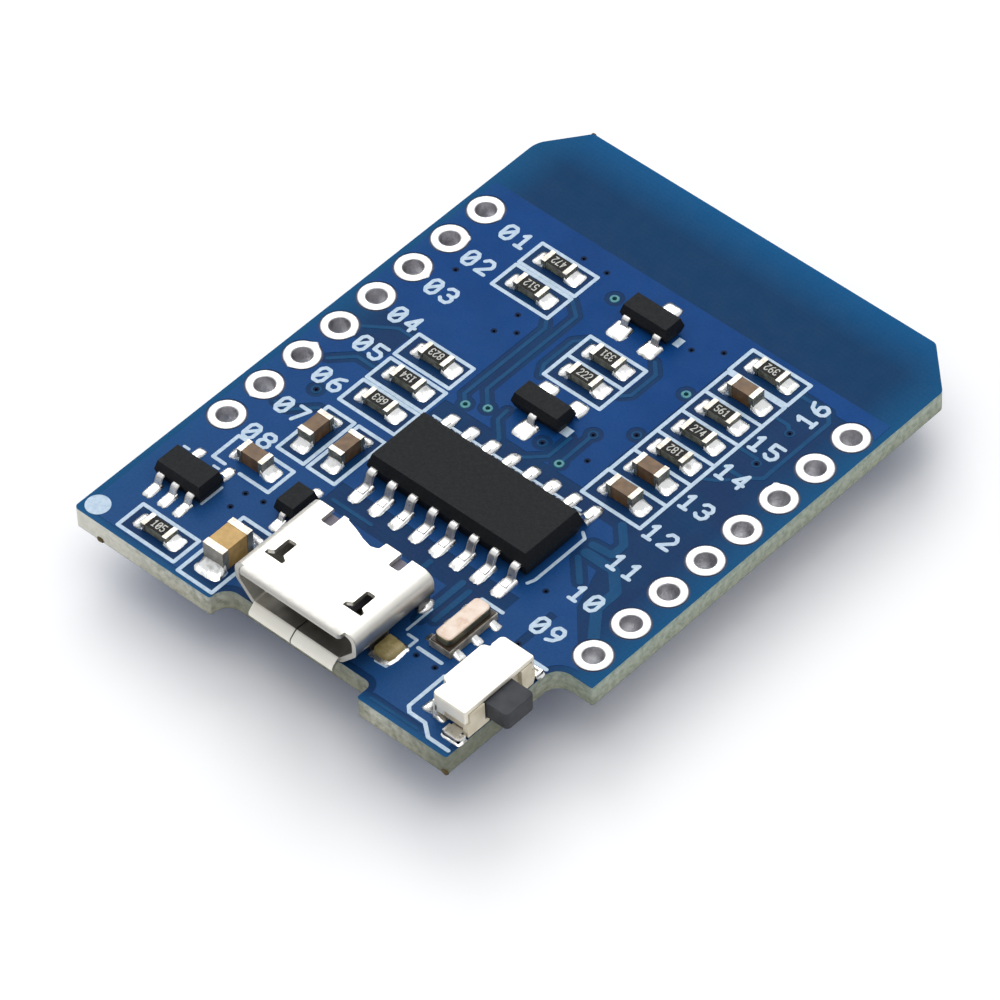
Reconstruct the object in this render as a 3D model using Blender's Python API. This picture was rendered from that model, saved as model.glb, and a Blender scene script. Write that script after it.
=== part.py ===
"""Microcontroller dev board with a USB socket, a reset button and a radio module underneath.

The board lies with its component side up and stands on the flat lid of the radio module's
shield can. +X runs across the board, +Y runs from the USB socket to the antenna end, and +Z
is up out of the component side. The origin is on the resting surface, under the middle of
the board. Sizes are in millimetres and become metres when an object is made.
"""
import math

import bmesh
import bpy

MM = 0.001

# Main board
BOARD_HALF_WIDTH = 12.7
BOARD_HALF_LENGTH = 16.9
BOARD_THICKNESS = 1.2
BOARD_ARC_STEPS = 8
USB_NOTCH_LEFT = -4.05
USB_NOTCH_RIGHT = 5.1
USB_NOTCH_DEPTH = 1.05
CUTOUT_Y = -9.6
LEFT_CHAMFER = (1.7, 2.25)
RIGHT_CHAMFER = (2.25, 2.2)
SOLDER_GAP = 0.03

# Plated pin holes: two rows of eight on the 0.1 inch grid
PIN_PITCH = 2.54
PINS_PER_ROW = 8
PIN_ROW_X = 4.5 * PIN_PITCH
PIN_CENTRE_Y = 0.8
PIN_HOLE_RADIUS = 0.5

# Radio module under the board
CAN_HEIGHT = 2.4
CAN_WALL = 0.2
CAN_HALF_WIDTH = 6.0
CAN_LENGTH = 15.0
MODULE_THICKNESS = 0.8
MODULE_HALF_WIDTH = 8.0
MODULE_LENGTH = 24.0
MODULE_PAD_PITCH = 2.0
MODULE_SIDE_PADS = 8
MODULE_END_PADS = 6
MODULE_FIRST_PAD = 1.5
MODULE_PAD_RADIUS = 0.35

MODULE_BOTTOM = CAN_HEIGHT + SOLDER_GAP
MODULE_TOP = MODULE_BOTTOM + MODULE_THICKNESS
MODULE_FAR_Y = BOARD_HALF_LENGTH
MODULE_NEAR_Y = MODULE_FAR_Y - MODULE_LENGTH
CAN_NEAR_Y = MODULE_NEAR_Y + MODULE_FIRST_PAD
CAN_FAR_Y = CAN_NEAR_Y + CAN_LENGTH
BOARD_BOTTOM = MODULE_TOP + SOLDER_GAP
BOARD_TOP = BOARD_BOTTOM + BOARD_THICKNESS
PART_SEAT = BOARD_TOP + SOLDER_GAP

# USB socket, a shell folded from sheet steel; heights are above the board's top face
USB_X = 0.55
SHEET = 0.25
STRIP_INSET = 0.03
SHELL_TOP = 2.5
SHELL_BEND = 1.3
SHELL_BOTTOM = 0.2
SHELL_HALF_WIDTH = 3.75
SHELL_FLOOR_HALF_WIDTH = 2.75
SHELL_REAR_Y = -10.77
SHELL_FRONT_Y = -15.97
SHELL_LIP_Y = -16.42
SHELL_LIP_HALF_WIDTH = 3.1
SHELL_LIP_RISE = 0.1
SHELL_FLANGE_HALF_WIDTH = 2.6
SHELL_FLANGE_DROP = 0.36
FLARE_MIDDLE_Y = -16.2
LATCH_SLOT_X = 2.43
LATCH_SLOT_NEAR_Y = -14.8
LATCH_SLOT_WAIST_Y = -14.55
LATCH_SLOT_STEM_Y = -14.4
LATCH_SLOT_FAR_Y = -13.47
LATCH_HEAD_HALF_WIDTH = 0.575
LATCH_STEM_HALF_WIDTH = 0.275
REAR_NOTCH_X = 2.1
REAR_NOTCH_HALF_WIDTH = 0.32
REAR_NOTCH_Y = -11.72
TAIL_GAP_HALF_WIDTH = 1.7
TAIL_GAP_Y = -12.36
REAR_LEG_X = 3.0
REAR_LEG_ENDS = (-11.35, -10.5)
REAR_LEG_TOP = 0.77
FRONT_LEG_X = 3.3
FRONT_LEG_TOE_X = 4.2
FRONT_LEG_ENDS = (-14.55, -13.3)
FRONT_LEG_TOP = 1.1
SEAM_HALF_WIDTH = 0.03
SEAM_FAR_Y = -12.0
CONTACT_PITCH = 0.65
CONTACT_COUNT = 5
CONTACT_WIDTH = 0.25
CONTACT_THICKNESS = 0.15
TONGUE_HALF_WIDTH = 1.85
TONGUE_LOW = 1.2
TONGUE_HIGH = 1.8
INSULATOR_REAR_Y = -10.9
INSULATOR_FRONT_Y = -12.3
TONGUE_TIP_Y = -15.0
CONTACT_SLOT_Y = -11.9
CONTACT_DROP_Y = -12.15
CONTACT_TAIL_Y = -10.35

# Side-pressed reset switch on the edge of the corner cut-out
SWITCH_Y = -13.2
SWITCH_HALF_LENGTH = 2.3
SWITCH_BACK_X = 8.2
SWITCH_FACE_X = 10.55
SWITCH_COVER_X = 10.5
SWITCH_WALL_X = 10.3
SWITCH_TOP = 1.65
SWITCH_SHEET = 0.2
SWITCH_SKIRT = 0.9
HOUSING_LOW = 0.22
HOUSING_TOP = 1.42
BUTTON_Y = -13.275
BUTTON_TIP_X = 11.8
BUTTON_HALF_WIDTH = 0.925
BUTTON_LOW = 0.38
BUTTON_HIGH = 1.35
BUTTON_FLANGE_BACK_X = 9.6
BUTTON_FLANGE_FRONT_X = 9.9
BUTTON_FLANGE_HALF_WIDTH = 1.3
BUTTON_NIB_X = 9.35
NEAR_PILLAR_Y = -14.02
NEAR_PILLAR_STEP_Y = -14.28
FAR_PILLAR_Y = -11.85
FAR_PILLAR_FOOT_Y = -11.6
PILLAR_BULGE = 0.15
DOORWAY_BACK_X = 9.7
POCKET_BACK_X = 8.75
POCKET_FRONT_X = 9.95
POCKET_HALF_LENGTH = 1.55
LEAF_BACK_X = 8.8
LEAF_HALF_SPAN = 1.4
LEAF_BOW = 0.4
LEAF_THICKNESS = 0.08
LEAF_LOW = 0.42
LEAF_HIGH = 1.2
COVER_LEG_WIDTH = 0.6
COVER_FOOT = 0.45
TERMINAL_BACK_X = 9.5
TERMINAL_FRONT_X = 10.2
TERMINAL_THICKNESS = 0.18

# Places of the small parts on the board's top face, as (x, y) of their centres
RESISTOR_PLACES = [
    (-6.08, 9.0), (-6.08, 7.05), (-0.27, 5.95), (-0.27, 4.35),
    (-6.38, 0.8), (-6.38, -1.15), (-6.38, -3.05),
    (6.1, 10.25), (6.1, 6.75), (6.1, 5.1), (6.1, 3.45), (-8.55, -15.5),
]
CAPACITOR_PLACES = [(6.1, 8.4), (6.1, 1.8), (6.1, 0.0), (-8.2, -9.5)]
UPRIGHT_CAPACITOR_PLACES = [(-7.4, -6.3), (-5.45, -6.3)]
BULK_CAPACITOR_PLACE = (-5.2, -14.4)
TRANSISTOR_PLACES = [(-0.27, 9.05, 1), (-0.27, 1.48, -1)]
REGULATOR_PLACE = (-9.7, -12.35)
DIODE_PLACE = (-4.8, -10.35)
SERIAL_CHIP_PLACE = (1.18, -4.78)
RESONATOR_PLACE = (6.1, -10.9)

# Sizes of the small parts: across X, along Y, height
RESISTOR_SIZE = (1.6, 0.8, 0.45)
CAPACITOR_SIZE = (1.6, 0.8, 0.8)
BULK_CAPACITOR_SIZE = (1.25, 2.0, 1.25)
CHIP_BODY = (9.9, 3.9, 1.5)
TRANSISTOR_BODY = (2.9, 1.3, 1.0)
REGULATOR_BODY = (2.9, 1.6, 1.1)
DIODE_BODY = (1.25, 1.7, 0.95)
LEAD_ROOT = 0.15
CHIP_LEAD_PITCH = 1.27
CHIP_LEADS_PER_SIDE = 8
OUTER_LEAD = 0.95
BODY_DRAFT = 0.12
BODY_STANDOFF = 0.08
RESONATOR_BASE = (1.3, 3.2, 0.4)
RESONATOR_LID = (1.0, 2.95, 0.5)

# Leads of the moulded parts: width, thickness, height where they leave the body, reach, foot
CHIP_LEAD = (0.42, 0.2, 0.8, 1.05, 0.55)
TRANSISTOR_LEAD = (0.42, 0.12, 0.5, 0.6, 0.3)
REGULATOR_LEAD = (0.4, 0.13, 0.55, 0.65, 0.32)
DIODE_LEAD = (0.35, 0.12, 0.4, 0.45, 0.25)

FINISHES = {
    "board_blue": ((0.012, 0.070, 0.270), 0.35, 0.0),
    "socket_steel": ((0.78, 0.77, 0.74), 0.25, 1.0),
    "socket_plastic": ((0.060, 0.058, 0.065), 0.55, 0.0),
    "contact_gold": ((0.83, 0.62, 0.25), 0.30, 1.0),
    "chip_black": ((0.022, 0.023, 0.025), 0.60, 0.0),
    "resistor_ceramic": ((0.030, 0.030, 0.032), 0.50, 0.0),
    "capacitor_brown": ((0.200, 0.090, 0.045), 0.50, 0.0),
    "capacitor_tan": ((0.500, 0.300, 0.100), 0.50, 0.0),
    "resonator_base": ((0.110, 0.095, 0.080), 0.60, 0.0),
    "resonator_lid": ((0.750, 0.610, 0.520), 0.45, 0.0),
    "switch_steel": ((0.80, 0.78, 0.72), 0.30, 1.0),
    "switch_ivory": ((0.780, 0.730, 0.600), 0.50, 0.0),
    "button_black": ((0.050, 0.050, 0.055), 0.60, 0.0),
    "module_blue": ((0.010, 0.045, 0.160), 0.35, 0.0),
    "can_steel": ((0.66, 0.66, 0.65), 0.32, 1.0),
    "crystal_steel": ((0.70, 0.69, 0.66), 0.30, 1.0),
    "led_white": ((0.80, 0.80, 0.74), 0.35, 0.0),
}


# ---------------------------------------------------------------- scene and object helpers

def clear_scene():
    for thing in list(bpy.data.objects):
        bpy.data.objects.remove(thing, do_unlink=True)


def finish_material(slot):
    material = bpy.data.materials.get(slot)
    if material is None:
        colour, roughness, metallic = FINISHES[slot]
        material = bpy.data.materials.new(slot)
        material.use_nodes = True
        shader = material.node_tree.nodes["Principled BSDF"]
        shader.inputs["Base Color"].default_value = (*colour, 1.0)
        shader.inputs["Roughness"].default_value = roughness
        shader.inputs["Metallic"].default_value = metallic
    return material


def make_object(name, bm, slot=None, origin=(0.0, 0.0, 0.0)):
    """Turn a bmesh drawn in millimetres into an object in metres, with its origin at origin."""
    bmesh.ops.recalc_face_normals(bm, faces=bm.faces)
    bmesh.ops.translate(bm, vec=[-value for value in origin], verts=bm.verts)
    bmesh.ops.scale(bm, vec=(MM, MM, MM), verts=bm.verts)
    mesh = bpy.data.meshes.new(name)
    bm.to_mesh(mesh)
    bm.free()
    mesh.shade_smooth()
    mesh.set_sharp_from_angle(angle=math.radians(35.0))
    thing = bpy.data.objects.new(name, mesh)
    thing.location = [value * MM for value in origin]
    bpy.context.collection.objects.link(thing)
    if slot:
        mesh.materials.append(finish_material(slot))
    return thing


def combine(target, name, bm, operation):
    """Cut bm out of target, or join it on, with a Boolean modifier."""
    tool = make_object(name, bm)
    tool.hide_render = True
    tool.display_type = "WIRE"
    modifier = target.modifiers.new(name, "BOOLEAN")
    modifier.operation = operation
    modifier.solver = "EXACT"
    modifier.object = tool


def cut(target, name, bm):
    combine(target, name, bm, "DIFFERENCE")


def join(target, name, bm):
    combine(target, name, bm, "UNION")


# ---------------------------------------------------------------- outlines

def rounded_outline(corners, steps=4):
    """A closed outline through (u, v, radius) corners, with an arc wherever radius isn't 0."""
    outline = []
    count = len(corners)
    for index, (u, v, radius) in enumerate(corners):
        if radius == 0:
            outline.append((u, v))
            continue
        before = corners[index - 1]
        after = corners[(index + 1) % count]
        angle_in = math.atan2(before[1] - v, before[0] - u)
        angle_out = math.atan2(after[1] - v, after[0] - u)
        half = (angle_out - angle_in + math.pi) % (2 * math.pi) - math.pi
        half = half / 2
        middle = angle_in + half
        reach = radius / math.sin(abs(half))
        centre_u = u + reach * math.cos(middle)
        centre_v = v + reach * math.sin(middle)
        sweep = math.copysign(math.pi / 2 - abs(half), -half)
        for step in range(steps + 1):
            turn = middle + math.pi - sweep + 2 * sweep * step / steps
            outline.append((centre_u + radius * math.cos(turn), centre_v + radius * math.sin(turn)))
    return outline


def rectangle(low, high):
    return [(low[0], low[1]), (high[0], low[1]), (high[0], high[1]), (low[0], high[1])]


def rounded_rectangle(centre, half_u, half_v, radius, steps=4):
    u, v = centre
    corners = [(u - half_u, v - half_v, radius), (u + half_u, v - half_v, radius),
               (u + half_u, v + half_v, radius), (u - half_u, v + half_v, radius)]
    return rounded_outline(corners, steps)


def circle(centre, radius, steps):
    points = []
    for step in range(steps):
        turn = 2 * math.pi * (step + 0.5) / steps
        points.append((centre[0] + radius * math.cos(turn), centre[1] + radius * math.sin(turn)))
    return points


def in_space(point, axis, height):
    u, v = point
    if axis == "x":
        return (height, u, v)
    if axis == "y":
        return (u, height, v)
    return (u, v, height)


# ---------------------------------------------------------------- solids

def add_loft(bm, rings):
    """A solid through a list of rings with equal numbers of points, capped at both ends."""
    loops = [[bm.verts.new(point) for point in ring] for ring in rings]
    count = len(loops[0])
    for lower, upper in zip(loops, loops[1:]):
        for index in range(count):
            after = (index + 1) % count
            bm.faces.new((lower[index], lower[after], upper[after], upper[index]))
    bm.faces.new(loops[0])
    bm.faces.new(loops[-1])


def add_ring_loft(bm, rings):
    """A closed ring-shaped solid: the last ring joins back to the first."""
    loops = [[bm.verts.new(point) for point in ring] for ring in rings]
    count = len(loops[0])
    for place, lower in enumerate(loops):
        upper = loops[(place + 1) % len(loops)]
        for index in range(count):
            after = (index + 1) % count
            bm.faces.new((lower[index], lower[after], upper[after], upper[index]))


def add_prism(bm, outline, axis, low, high):
    add_loft(bm, [[in_space(point, axis, height) for point in outline] for height in (low, high)])


def add_block(bm, low, high):
    add_prism(bm, rectangle(low, high), "z", low[2], high[2])


def block(low, high):
    bm = bmesh.new()
    add_block(bm, low, high)
    return bm


def prism(outline, axis, low, high):
    bm = bmesh.new()
    add_prism(bm, outline, axis, low, high)
    return bm


def bevelled_block(low, high, width, segments=1):
    bm = block(low, high)
    bmesh.ops.bevel(bm, geom=bm.edges[:], offset=width, segments=segments,
                    profile=0.5, affect="EDGES")
    return bm


def size_box(place, size, seat=PART_SEAT):
    """Low and high corners of a part of a given size, centred on place and standing on seat."""
    low = (place[0] - size[0] / 2, place[1] - size[1] / 2, seat)
    high = (place[0] + size[0] / 2, place[1] + size[1] / 2, seat + size[2])
    return low, high


# ---------------------------------------------------------------- main board

def board_outline():
    """Board edge: a notch for the USB socket, a corner cut-out for the button, two chamfers."""
    near = -BOARD_HALF_LENGTH
    far = BOARD_HALF_LENGTH
    side = BOARD_HALF_WIDTH
    notch_y = near + USB_NOTCH_DEPTH
    corners = [
        (-side, near, 0.25), (USB_NOTCH_LEFT, near, 0.15), (USB_NOTCH_LEFT, notch_y, 0.85),
        (USB_NOTCH_RIGHT, notch_y, 0.4), (USB_NOTCH_RIGHT, near, 0.15),
        (SWITCH_FACE_X, near, 0.15), (SWITCH_FACE_X, CUTOUT_Y, 0.9), (side, CUTOUT_Y, 0.1),
        (side, far - RIGHT_CHAMFER[1], 0.4), (side - RIGHT_CHAMFER[0], far, 0.4),
        (-side + LEFT_CHAMFER[0], far, 0.3), (-side, far - LEFT_CHAMFER[1], 1.4),
    ]
    return rounded_outline(corners, BOARD_ARC_STEPS)


def pin_places():
    places = []
    for side in (-1, 1):
        for index in range(PINS_PER_ROW):
            y = PIN_CENTRE_Y + PIN_PITCH * ((PINS_PER_ROW - 1) / 2 - index)
            places.append((side * PIN_ROW_X, y))
    return places


def make_circuit_board():
    board = make_object("circuit_board", prism(board_outline(), "z", BOARD_BOTTOM, BOARD_TOP),
                        "board_blue")
    holes = bmesh.new()
    for place in pin_places():
        add_prism(holes, circle(place, PIN_HOLE_RADIUS, 16), "z", BOARD_BOTTOM - 1, BOARD_TOP + 1)
    cut(board, "pin_hole_cutters", holes)


# ---------------------------------------------------------------- moulded parts with leads

def add_lead(bm, x, body_edge_y, side, width, thickness, exit_height, reach, foot):
    """A gull-wing lead that leaves a body at body_edge_y towards side, -1 or 1, along Y."""
    seat = PART_SEAT
    top = seat + exit_height + thickness / 2
    under = seat + exit_height - thickness / 2
    knee = reach - foot
    profile = [
        (-LEAD_ROOT, top), (knee * 0.55, top), (knee + 0.05, seat + thickness),
        (reach, seat + thickness), (reach, seat), (knee - 0.1, seat), (knee * 0.35, under),
        (-LEAD_ROOT, under),
    ]
    outline = [(body_edge_y + side * out, z) for out, z in profile]
    add_prism(bm, outline, "x", x - width / 2, x + width / 2)


def make_leaded_part(name, place, body, leads, lead_size, slot):
    """A moulded body with drafted sides, and leads given as (x offset, side) pairs."""
    width, thickness, exit_height, reach, foot = lead_size
    half_x = body[0] / 2
    half_y = body[1] / 2
    rings = []
    for height, inset in ((BODY_STANDOFF, BODY_DRAFT), (exit_height, 0.0), (body[2], BODY_DRAFT)):
        low = (place[0] - half_x + inset, place[1] - half_y + inset)
        high = (place[0] + half_x - inset, place[1] + half_y - inset)
        rings.append([(*point, PART_SEAT + height) for point in rectangle(low, high)])
    bm = bmesh.new()
    add_loft(bm, rings)
    moulding = make_object(name, bm, slot)
    frame = bmesh.new()
    for offset, side in leads:
        add_lead(frame, place[0] + offset, place[1] + side * half_y, side, width, thickness,
                 exit_height, reach, foot)
    join(moulding, name + "_leads", frame)


def make_serial_chip():
    middle = (CHIP_LEADS_PER_SIDE - 1) / 2
    leads = []
    for side in (-1, 1):
        for index in range(CHIP_LEADS_PER_SIDE):
            leads.append(((index - middle) * CHIP_LEAD_PITCH, side))
    make_leaded_part("usb_serial_chip", SERIAL_CHIP_PLACE, CHIP_BODY, leads, CHIP_LEAD,
                     "chip_black")


def make_transistors():
    for number, (x, y, up) in enumerate(TRANSISTOR_PLACES, 1):
        leads = [(0.0, up), (-OUTER_LEAD, -up), (OUTER_LEAD, -up)]
        make_leaded_part(f"transistor_{number}", (x, y), TRANSISTOR_BODY, leads,
                         TRANSISTOR_LEAD, "chip_black")


def make_regulator():
    leads = [(-OUTER_LEAD, -1), (0.0, -1), (OUTER_LEAD, -1), (-OUTER_LEAD, 1), (OUTER_LEAD, 1)]
    make_leaded_part("voltage_regulator", REGULATOR_PLACE, REGULATOR_BODY, leads,
                     REGULATOR_LEAD, "chip_black")


def make_diode():
    make_leaded_part("input_diode", DIODE_PLACE, DIODE_BODY, [(0.0, -1), (0.0, 1)], DIODE_LEAD,
                     "chip_black")


# ---------------------------------------------------------------- chip resistors and capacitors

def make_resistors():
    for number, place in enumerate(RESISTOR_PLACES, 1):
        bm = bevelled_block(*size_box(place, RESISTOR_SIZE), 0.04)
        make_object(f"resistor_{number:02d}", bm, "resistor_ceramic")


def make_capacitors():
    upright = (CAPACITOR_SIZE[1], CAPACITOR_SIZE[0], CAPACITOR_SIZE[2])
    chips = [(place, CAPACITOR_SIZE) for place in CAPACITOR_PLACES]
    chips += [(place, upright) for place in UPRIGHT_CAPACITOR_PLACES]
    for number, (place, size) in enumerate(chips, 1):
        bm = bevelled_block(*size_box(place, size), 0.08, 2)
        make_object(f"capacitor_{number}", bm, "capacitor_brown")
    bm = bevelled_block(*size_box(BULK_CAPACITOR_PLACE, BULK_CAPACITOR_SIZE), 0.1, 2)
    make_object("bulk_capacitor", bm, "capacitor_tan")


def make_resonator():
    base = bevelled_block(*size_box(RESONATOR_PLACE, RESONATOR_BASE), 0.03)
    make_object("resonator_base", base, "resonator_base")
    lid_seat = PART_SEAT + RESONATOR_BASE[2] + SOLDER_GAP
    half_x = RESONATOR_LID[0] / 2
    half_y = RESONATOR_LID[1] / 2
    rings = []
    for height, inset in ((0.0, 0.05), (0.08, 0.0), (0.38, 0.0), (0.47, 0.05), (0.5, 0.14)):
        outline = rounded_rectangle(RESONATOR_PLACE, half_x - inset, half_y - inset, 0.3 - inset)
        rings.append([(*point, lid_seat + height) for point in outline])
    lid = bmesh.new()
    add_loft(lid, rings)
    make_object("resonator_lid", lid, "resonator_lid")


# ---------------------------------------------------------------- USB socket

def shell_corners(inset):
    """Corners of the shell's section, wide above and chamfered below, moved in by inset."""
    slope = math.atan2(SHELL_BEND - SHELL_BOTTOM, SHELL_HALF_WIDTH - SHELL_FLOOR_HALF_WIDTH)
    side_shift = inset * math.tan((math.pi / 2 - slope) / 2)
    floor_shift = inset * math.tan(slope / 2)
    side = SHELL_HALF_WIDTH - inset
    floor = SHELL_FLOOR_HALF_WIDTH - floor_shift
    low = SHELL_BOTTOM + inset
    bend = SHELL_BEND + side_shift
    top = SHELL_TOP - inset
    return [(floor, low), (side, bend), (side, top), (-side, top), (-side, bend), (-floor, low)]


def shell_section(inset, y, steps=5):
    radii = (0.35, 0.35, 0.55, 0.55, 0.35, 0.35)
    corners = []
    for (u, v), radius in zip(shell_corners(inset), radii):
        corners.append((USB_X + u, BOARD_TOP + v, max(radius - inset, 0.08)))
    return [in_space(point, "y", y) for point in rounded_outline(corners, steps)]


def add_flange(bm, start, end, upwards, stations):
    """A flat strip of sheet that flares out of the mouth, upwards or, for -1, downwards.

    start and end are opposite (x, z) corners of the strip's section, and stations are
    (y, distance) pairs along the flare.
    """
    rings = []
    for y, distance in stations:
        level = BOARD_TOP + upwards * distance
        rings.append([(USB_X + u, y, level + v) for u, v in rectangle(start, end)])
    add_loft(bm, rings)


def shell_flanges():
    """Flared strips above and below the mouth, rooted inside the shell's sheet."""
    bm = bmesh.new()
    root_y = SHELL_FRONT_Y + 0.3
    high = SHELL_TOP - STRIP_INSET
    low = SHELL_TOP - SHEET + STRIP_INSET
    add_flange(bm, (-SHELL_LIP_HALF_WIDTH, high), (SHELL_LIP_HALF_WIDTH, low), 1,
               [(root_y, 0.0), (SHELL_FRONT_Y, 0.0), (FLARE_MIDDLE_Y, 0.03),
                (SHELL_LIP_Y, SHELL_LIP_RISE)])
    high = SHELL_BOTTOM + SHEET - STRIP_INSET
    low = SHELL_BOTTOM + STRIP_INSET
    add_flange(bm, (-SHELL_FLANGE_HALF_WIDTH, high), (SHELL_FLANGE_HALF_WIDTH, low), -1,
               [(root_y, 0.0), (SHELL_FRONT_Y, 0.0), (FLARE_MIDDLE_Y, 0.16),
                (SHELL_LIP_Y, SHELL_FLANGE_DROP)])
    return bm


def shell_legs():
    """Four legs that drop from the chamfer walls; the front pair has feet bent outwards."""
    bm = bmesh.new()
    sole = PART_SEAT + SHEET
    thickness = SHEET - 2 * STRIP_INSET
    for side in (-1, 1):
        inside = USB_X + side * REAR_LEG_X
        outside = inside + side * thickness
        top = BOARD_TOP + REAR_LEG_TOP
        straight = [(inside, PART_SEAT), (outside, PART_SEAT), (outside, top), (inside, top)]
        add_prism(bm, straight, "y", *REAR_LEG_ENDS)
        inside = USB_X + side * FRONT_LEG_X
        outside = inside + side * thickness
        toe = USB_X + side * FRONT_LEG_TOE_X
        top = BOARD_TOP + FRONT_LEG_TOP
        footed = [(inside, PART_SEAT), (toe, PART_SEAT), (toe, sole), (outside, sole),
                  (outside, top), (inside, top)]
        add_prism(bm, footed, "y", *FRONT_LEG_ENDS)
    return bm


def shell_openings():
    """Latch slots, rear notches, the gap under the contact tails and the folded seam."""
    bm = bmesh.new()
    roof = BOARD_TOP + SHELL_TOP
    for side in (-1, 1):
        middle = USB_X + side * LATCH_SLOT_X
        head = (middle - LATCH_HEAD_HALF_WIDTH, middle + LATCH_HEAD_HALF_WIDTH)
        stem = (middle - LATCH_STEM_HALF_WIDTH, middle + LATCH_STEM_HALF_WIDTH)
        tee = [(head[0], LATCH_SLOT_NEAR_Y), (head[1], LATCH_SLOT_NEAR_Y),
               (head[1], LATCH_SLOT_WAIST_Y), (stem[1], LATCH_SLOT_STEM_Y),
               (stem[1], LATCH_SLOT_FAR_Y), (stem[0], LATCH_SLOT_FAR_Y),
               (stem[0], LATCH_SLOT_STEM_Y), (head[0], LATCH_SLOT_WAIST_Y)]
        add_prism(bm, tee, "z", roof - SHEET - 0.1, roof + 0.2)
        notch_x = USB_X + side * REAR_NOTCH_X
        add_block(bm, (notch_x - REAR_NOTCH_HALF_WIDTH, REAR_NOTCH_Y, roof - SHEET - 0.1),
                  (notch_x + REAR_NOTCH_HALF_WIDTH, SHELL_REAR_Y + 0.3, roof + 0.2))
    scoop = rounded_outline([(-0.95, SHELL_REAR_Y + 0.3, 0), (-0.5, -11.02, 0.3),
                             (0.75, -11.4, 0.3), (1.3, -11.3, 0.15), (1.45, SHELL_REAR_Y + 0.3, 0)])
    add_prism(bm, scoop, "z", roof - SHEET - 0.1, roof + 0.2)
    add_block(bm, (USB_X - TAIL_GAP_HALF_WIDTH, TAIL_GAP_Y, BOARD_TOP - 0.2),
              (USB_X + TAIL_GAP_HALF_WIDTH, SHELL_REAR_Y + 0.3,
               BOARD_TOP + SHELL_BOTTOM + SHEET + 0.1))
    return bm


def make_usb_shell():
    section = bmesh.new()
    add_ring_loft(section, [
        shell_section(0.0, SHELL_FRONT_Y), shell_section(0.0, SHELL_REAR_Y),
        shell_section(SHEET, SHELL_REAR_Y), shell_section(SHEET, SHELL_FRONT_Y),
    ])
    shell = make_object("usb_shell", section, "socket_steel")
    join(shell, "shell_flange_strips", shell_flanges())
    join(shell, "shell_leg_strips", shell_legs())
    cut(shell, "shell_opening_cutters", shell_openings())
    seam = block((USB_X - SEAM_HALF_WIDTH, -17.2, BOARD_TOP - 1),
                 (USB_X + SEAM_HALF_WIDTH, SEAM_FAR_Y, BOARD_TOP + 0.7))
    cut(shell, "shell_seam_cutter", seam)


def contact_places():
    middle = (CONTACT_COUNT - 1) / 2
    return [USB_X + (index - middle) * CONTACT_PITCH for index in range(CONTACT_COUNT)]


def make_usb_insulator():
    """Moulded block that closes the back of the shell, with the tongue that a plug slides over."""
    fit = SHEET + SOLDER_GAP
    bm = bmesh.new()
    add_loft(bm, [shell_section(fit, INSULATOR_REAR_Y), shell_section(fit, INSULATOR_FRONT_Y)])
    insulator = make_object("usb_insulator", bm, "socket_plastic")
    tongue = bevelled_block(
        (USB_X - TONGUE_HALF_WIDTH, TONGUE_TIP_Y, BOARD_TOP + TONGUE_LOW),
        (USB_X + TONGUE_HALF_WIDTH, INSULATOR_FRONT_Y + 0.3, BOARD_TOP + TONGUE_HIGH), 0.08)
    join(insulator, "tongue_block", tongue)
    slots = bmesh.new()
    half = CONTACT_WIDTH / 2 + SOLDER_GAP
    for x in contact_places():
        add_block(slots, (x - half, INSULATOR_FRONT_Y - 0.2, BOARD_TOP - 0.5),
                  (x + half, CONTACT_SLOT_Y, BOARD_TOP + TONGUE_LOW + 0.01))
    cut(insulator, "contact_slot_cutters", slots)


def make_usb_contacts():
    """Each contact runs under the tongue, drops behind it and ends in a tail on the board."""
    high = BOARD_TOP + TONGUE_LOW - 0.02
    low = high - CONTACT_THICKNESS
    tail_low = PART_SEAT
    tail_high = tail_low + CONTACT_THICKNESS
    drop_front = CONTACT_DROP_Y
    drop_rear = drop_front + CONTACT_THICKNESS
    profile = [
        (TONGUE_TIP_Y + 0.15, high), (TONGUE_TIP_Y + 0.15, low), (drop_front, low),
        (drop_front, tail_low), (CONTACT_TAIL_Y, tail_low), (CONTACT_TAIL_Y, tail_high),
        (drop_rear, tail_high), (drop_rear, high),
    ]
    for number, x in enumerate(contact_places(), 1):
        bm = prism(profile, "x", x - CONTACT_WIDTH / 2, x + CONTACT_WIDTH / 2)
        make_object(f"usb_contact_{number}", bm, "contact_gold")


# ---------------------------------------------------------------- reset switch

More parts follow.
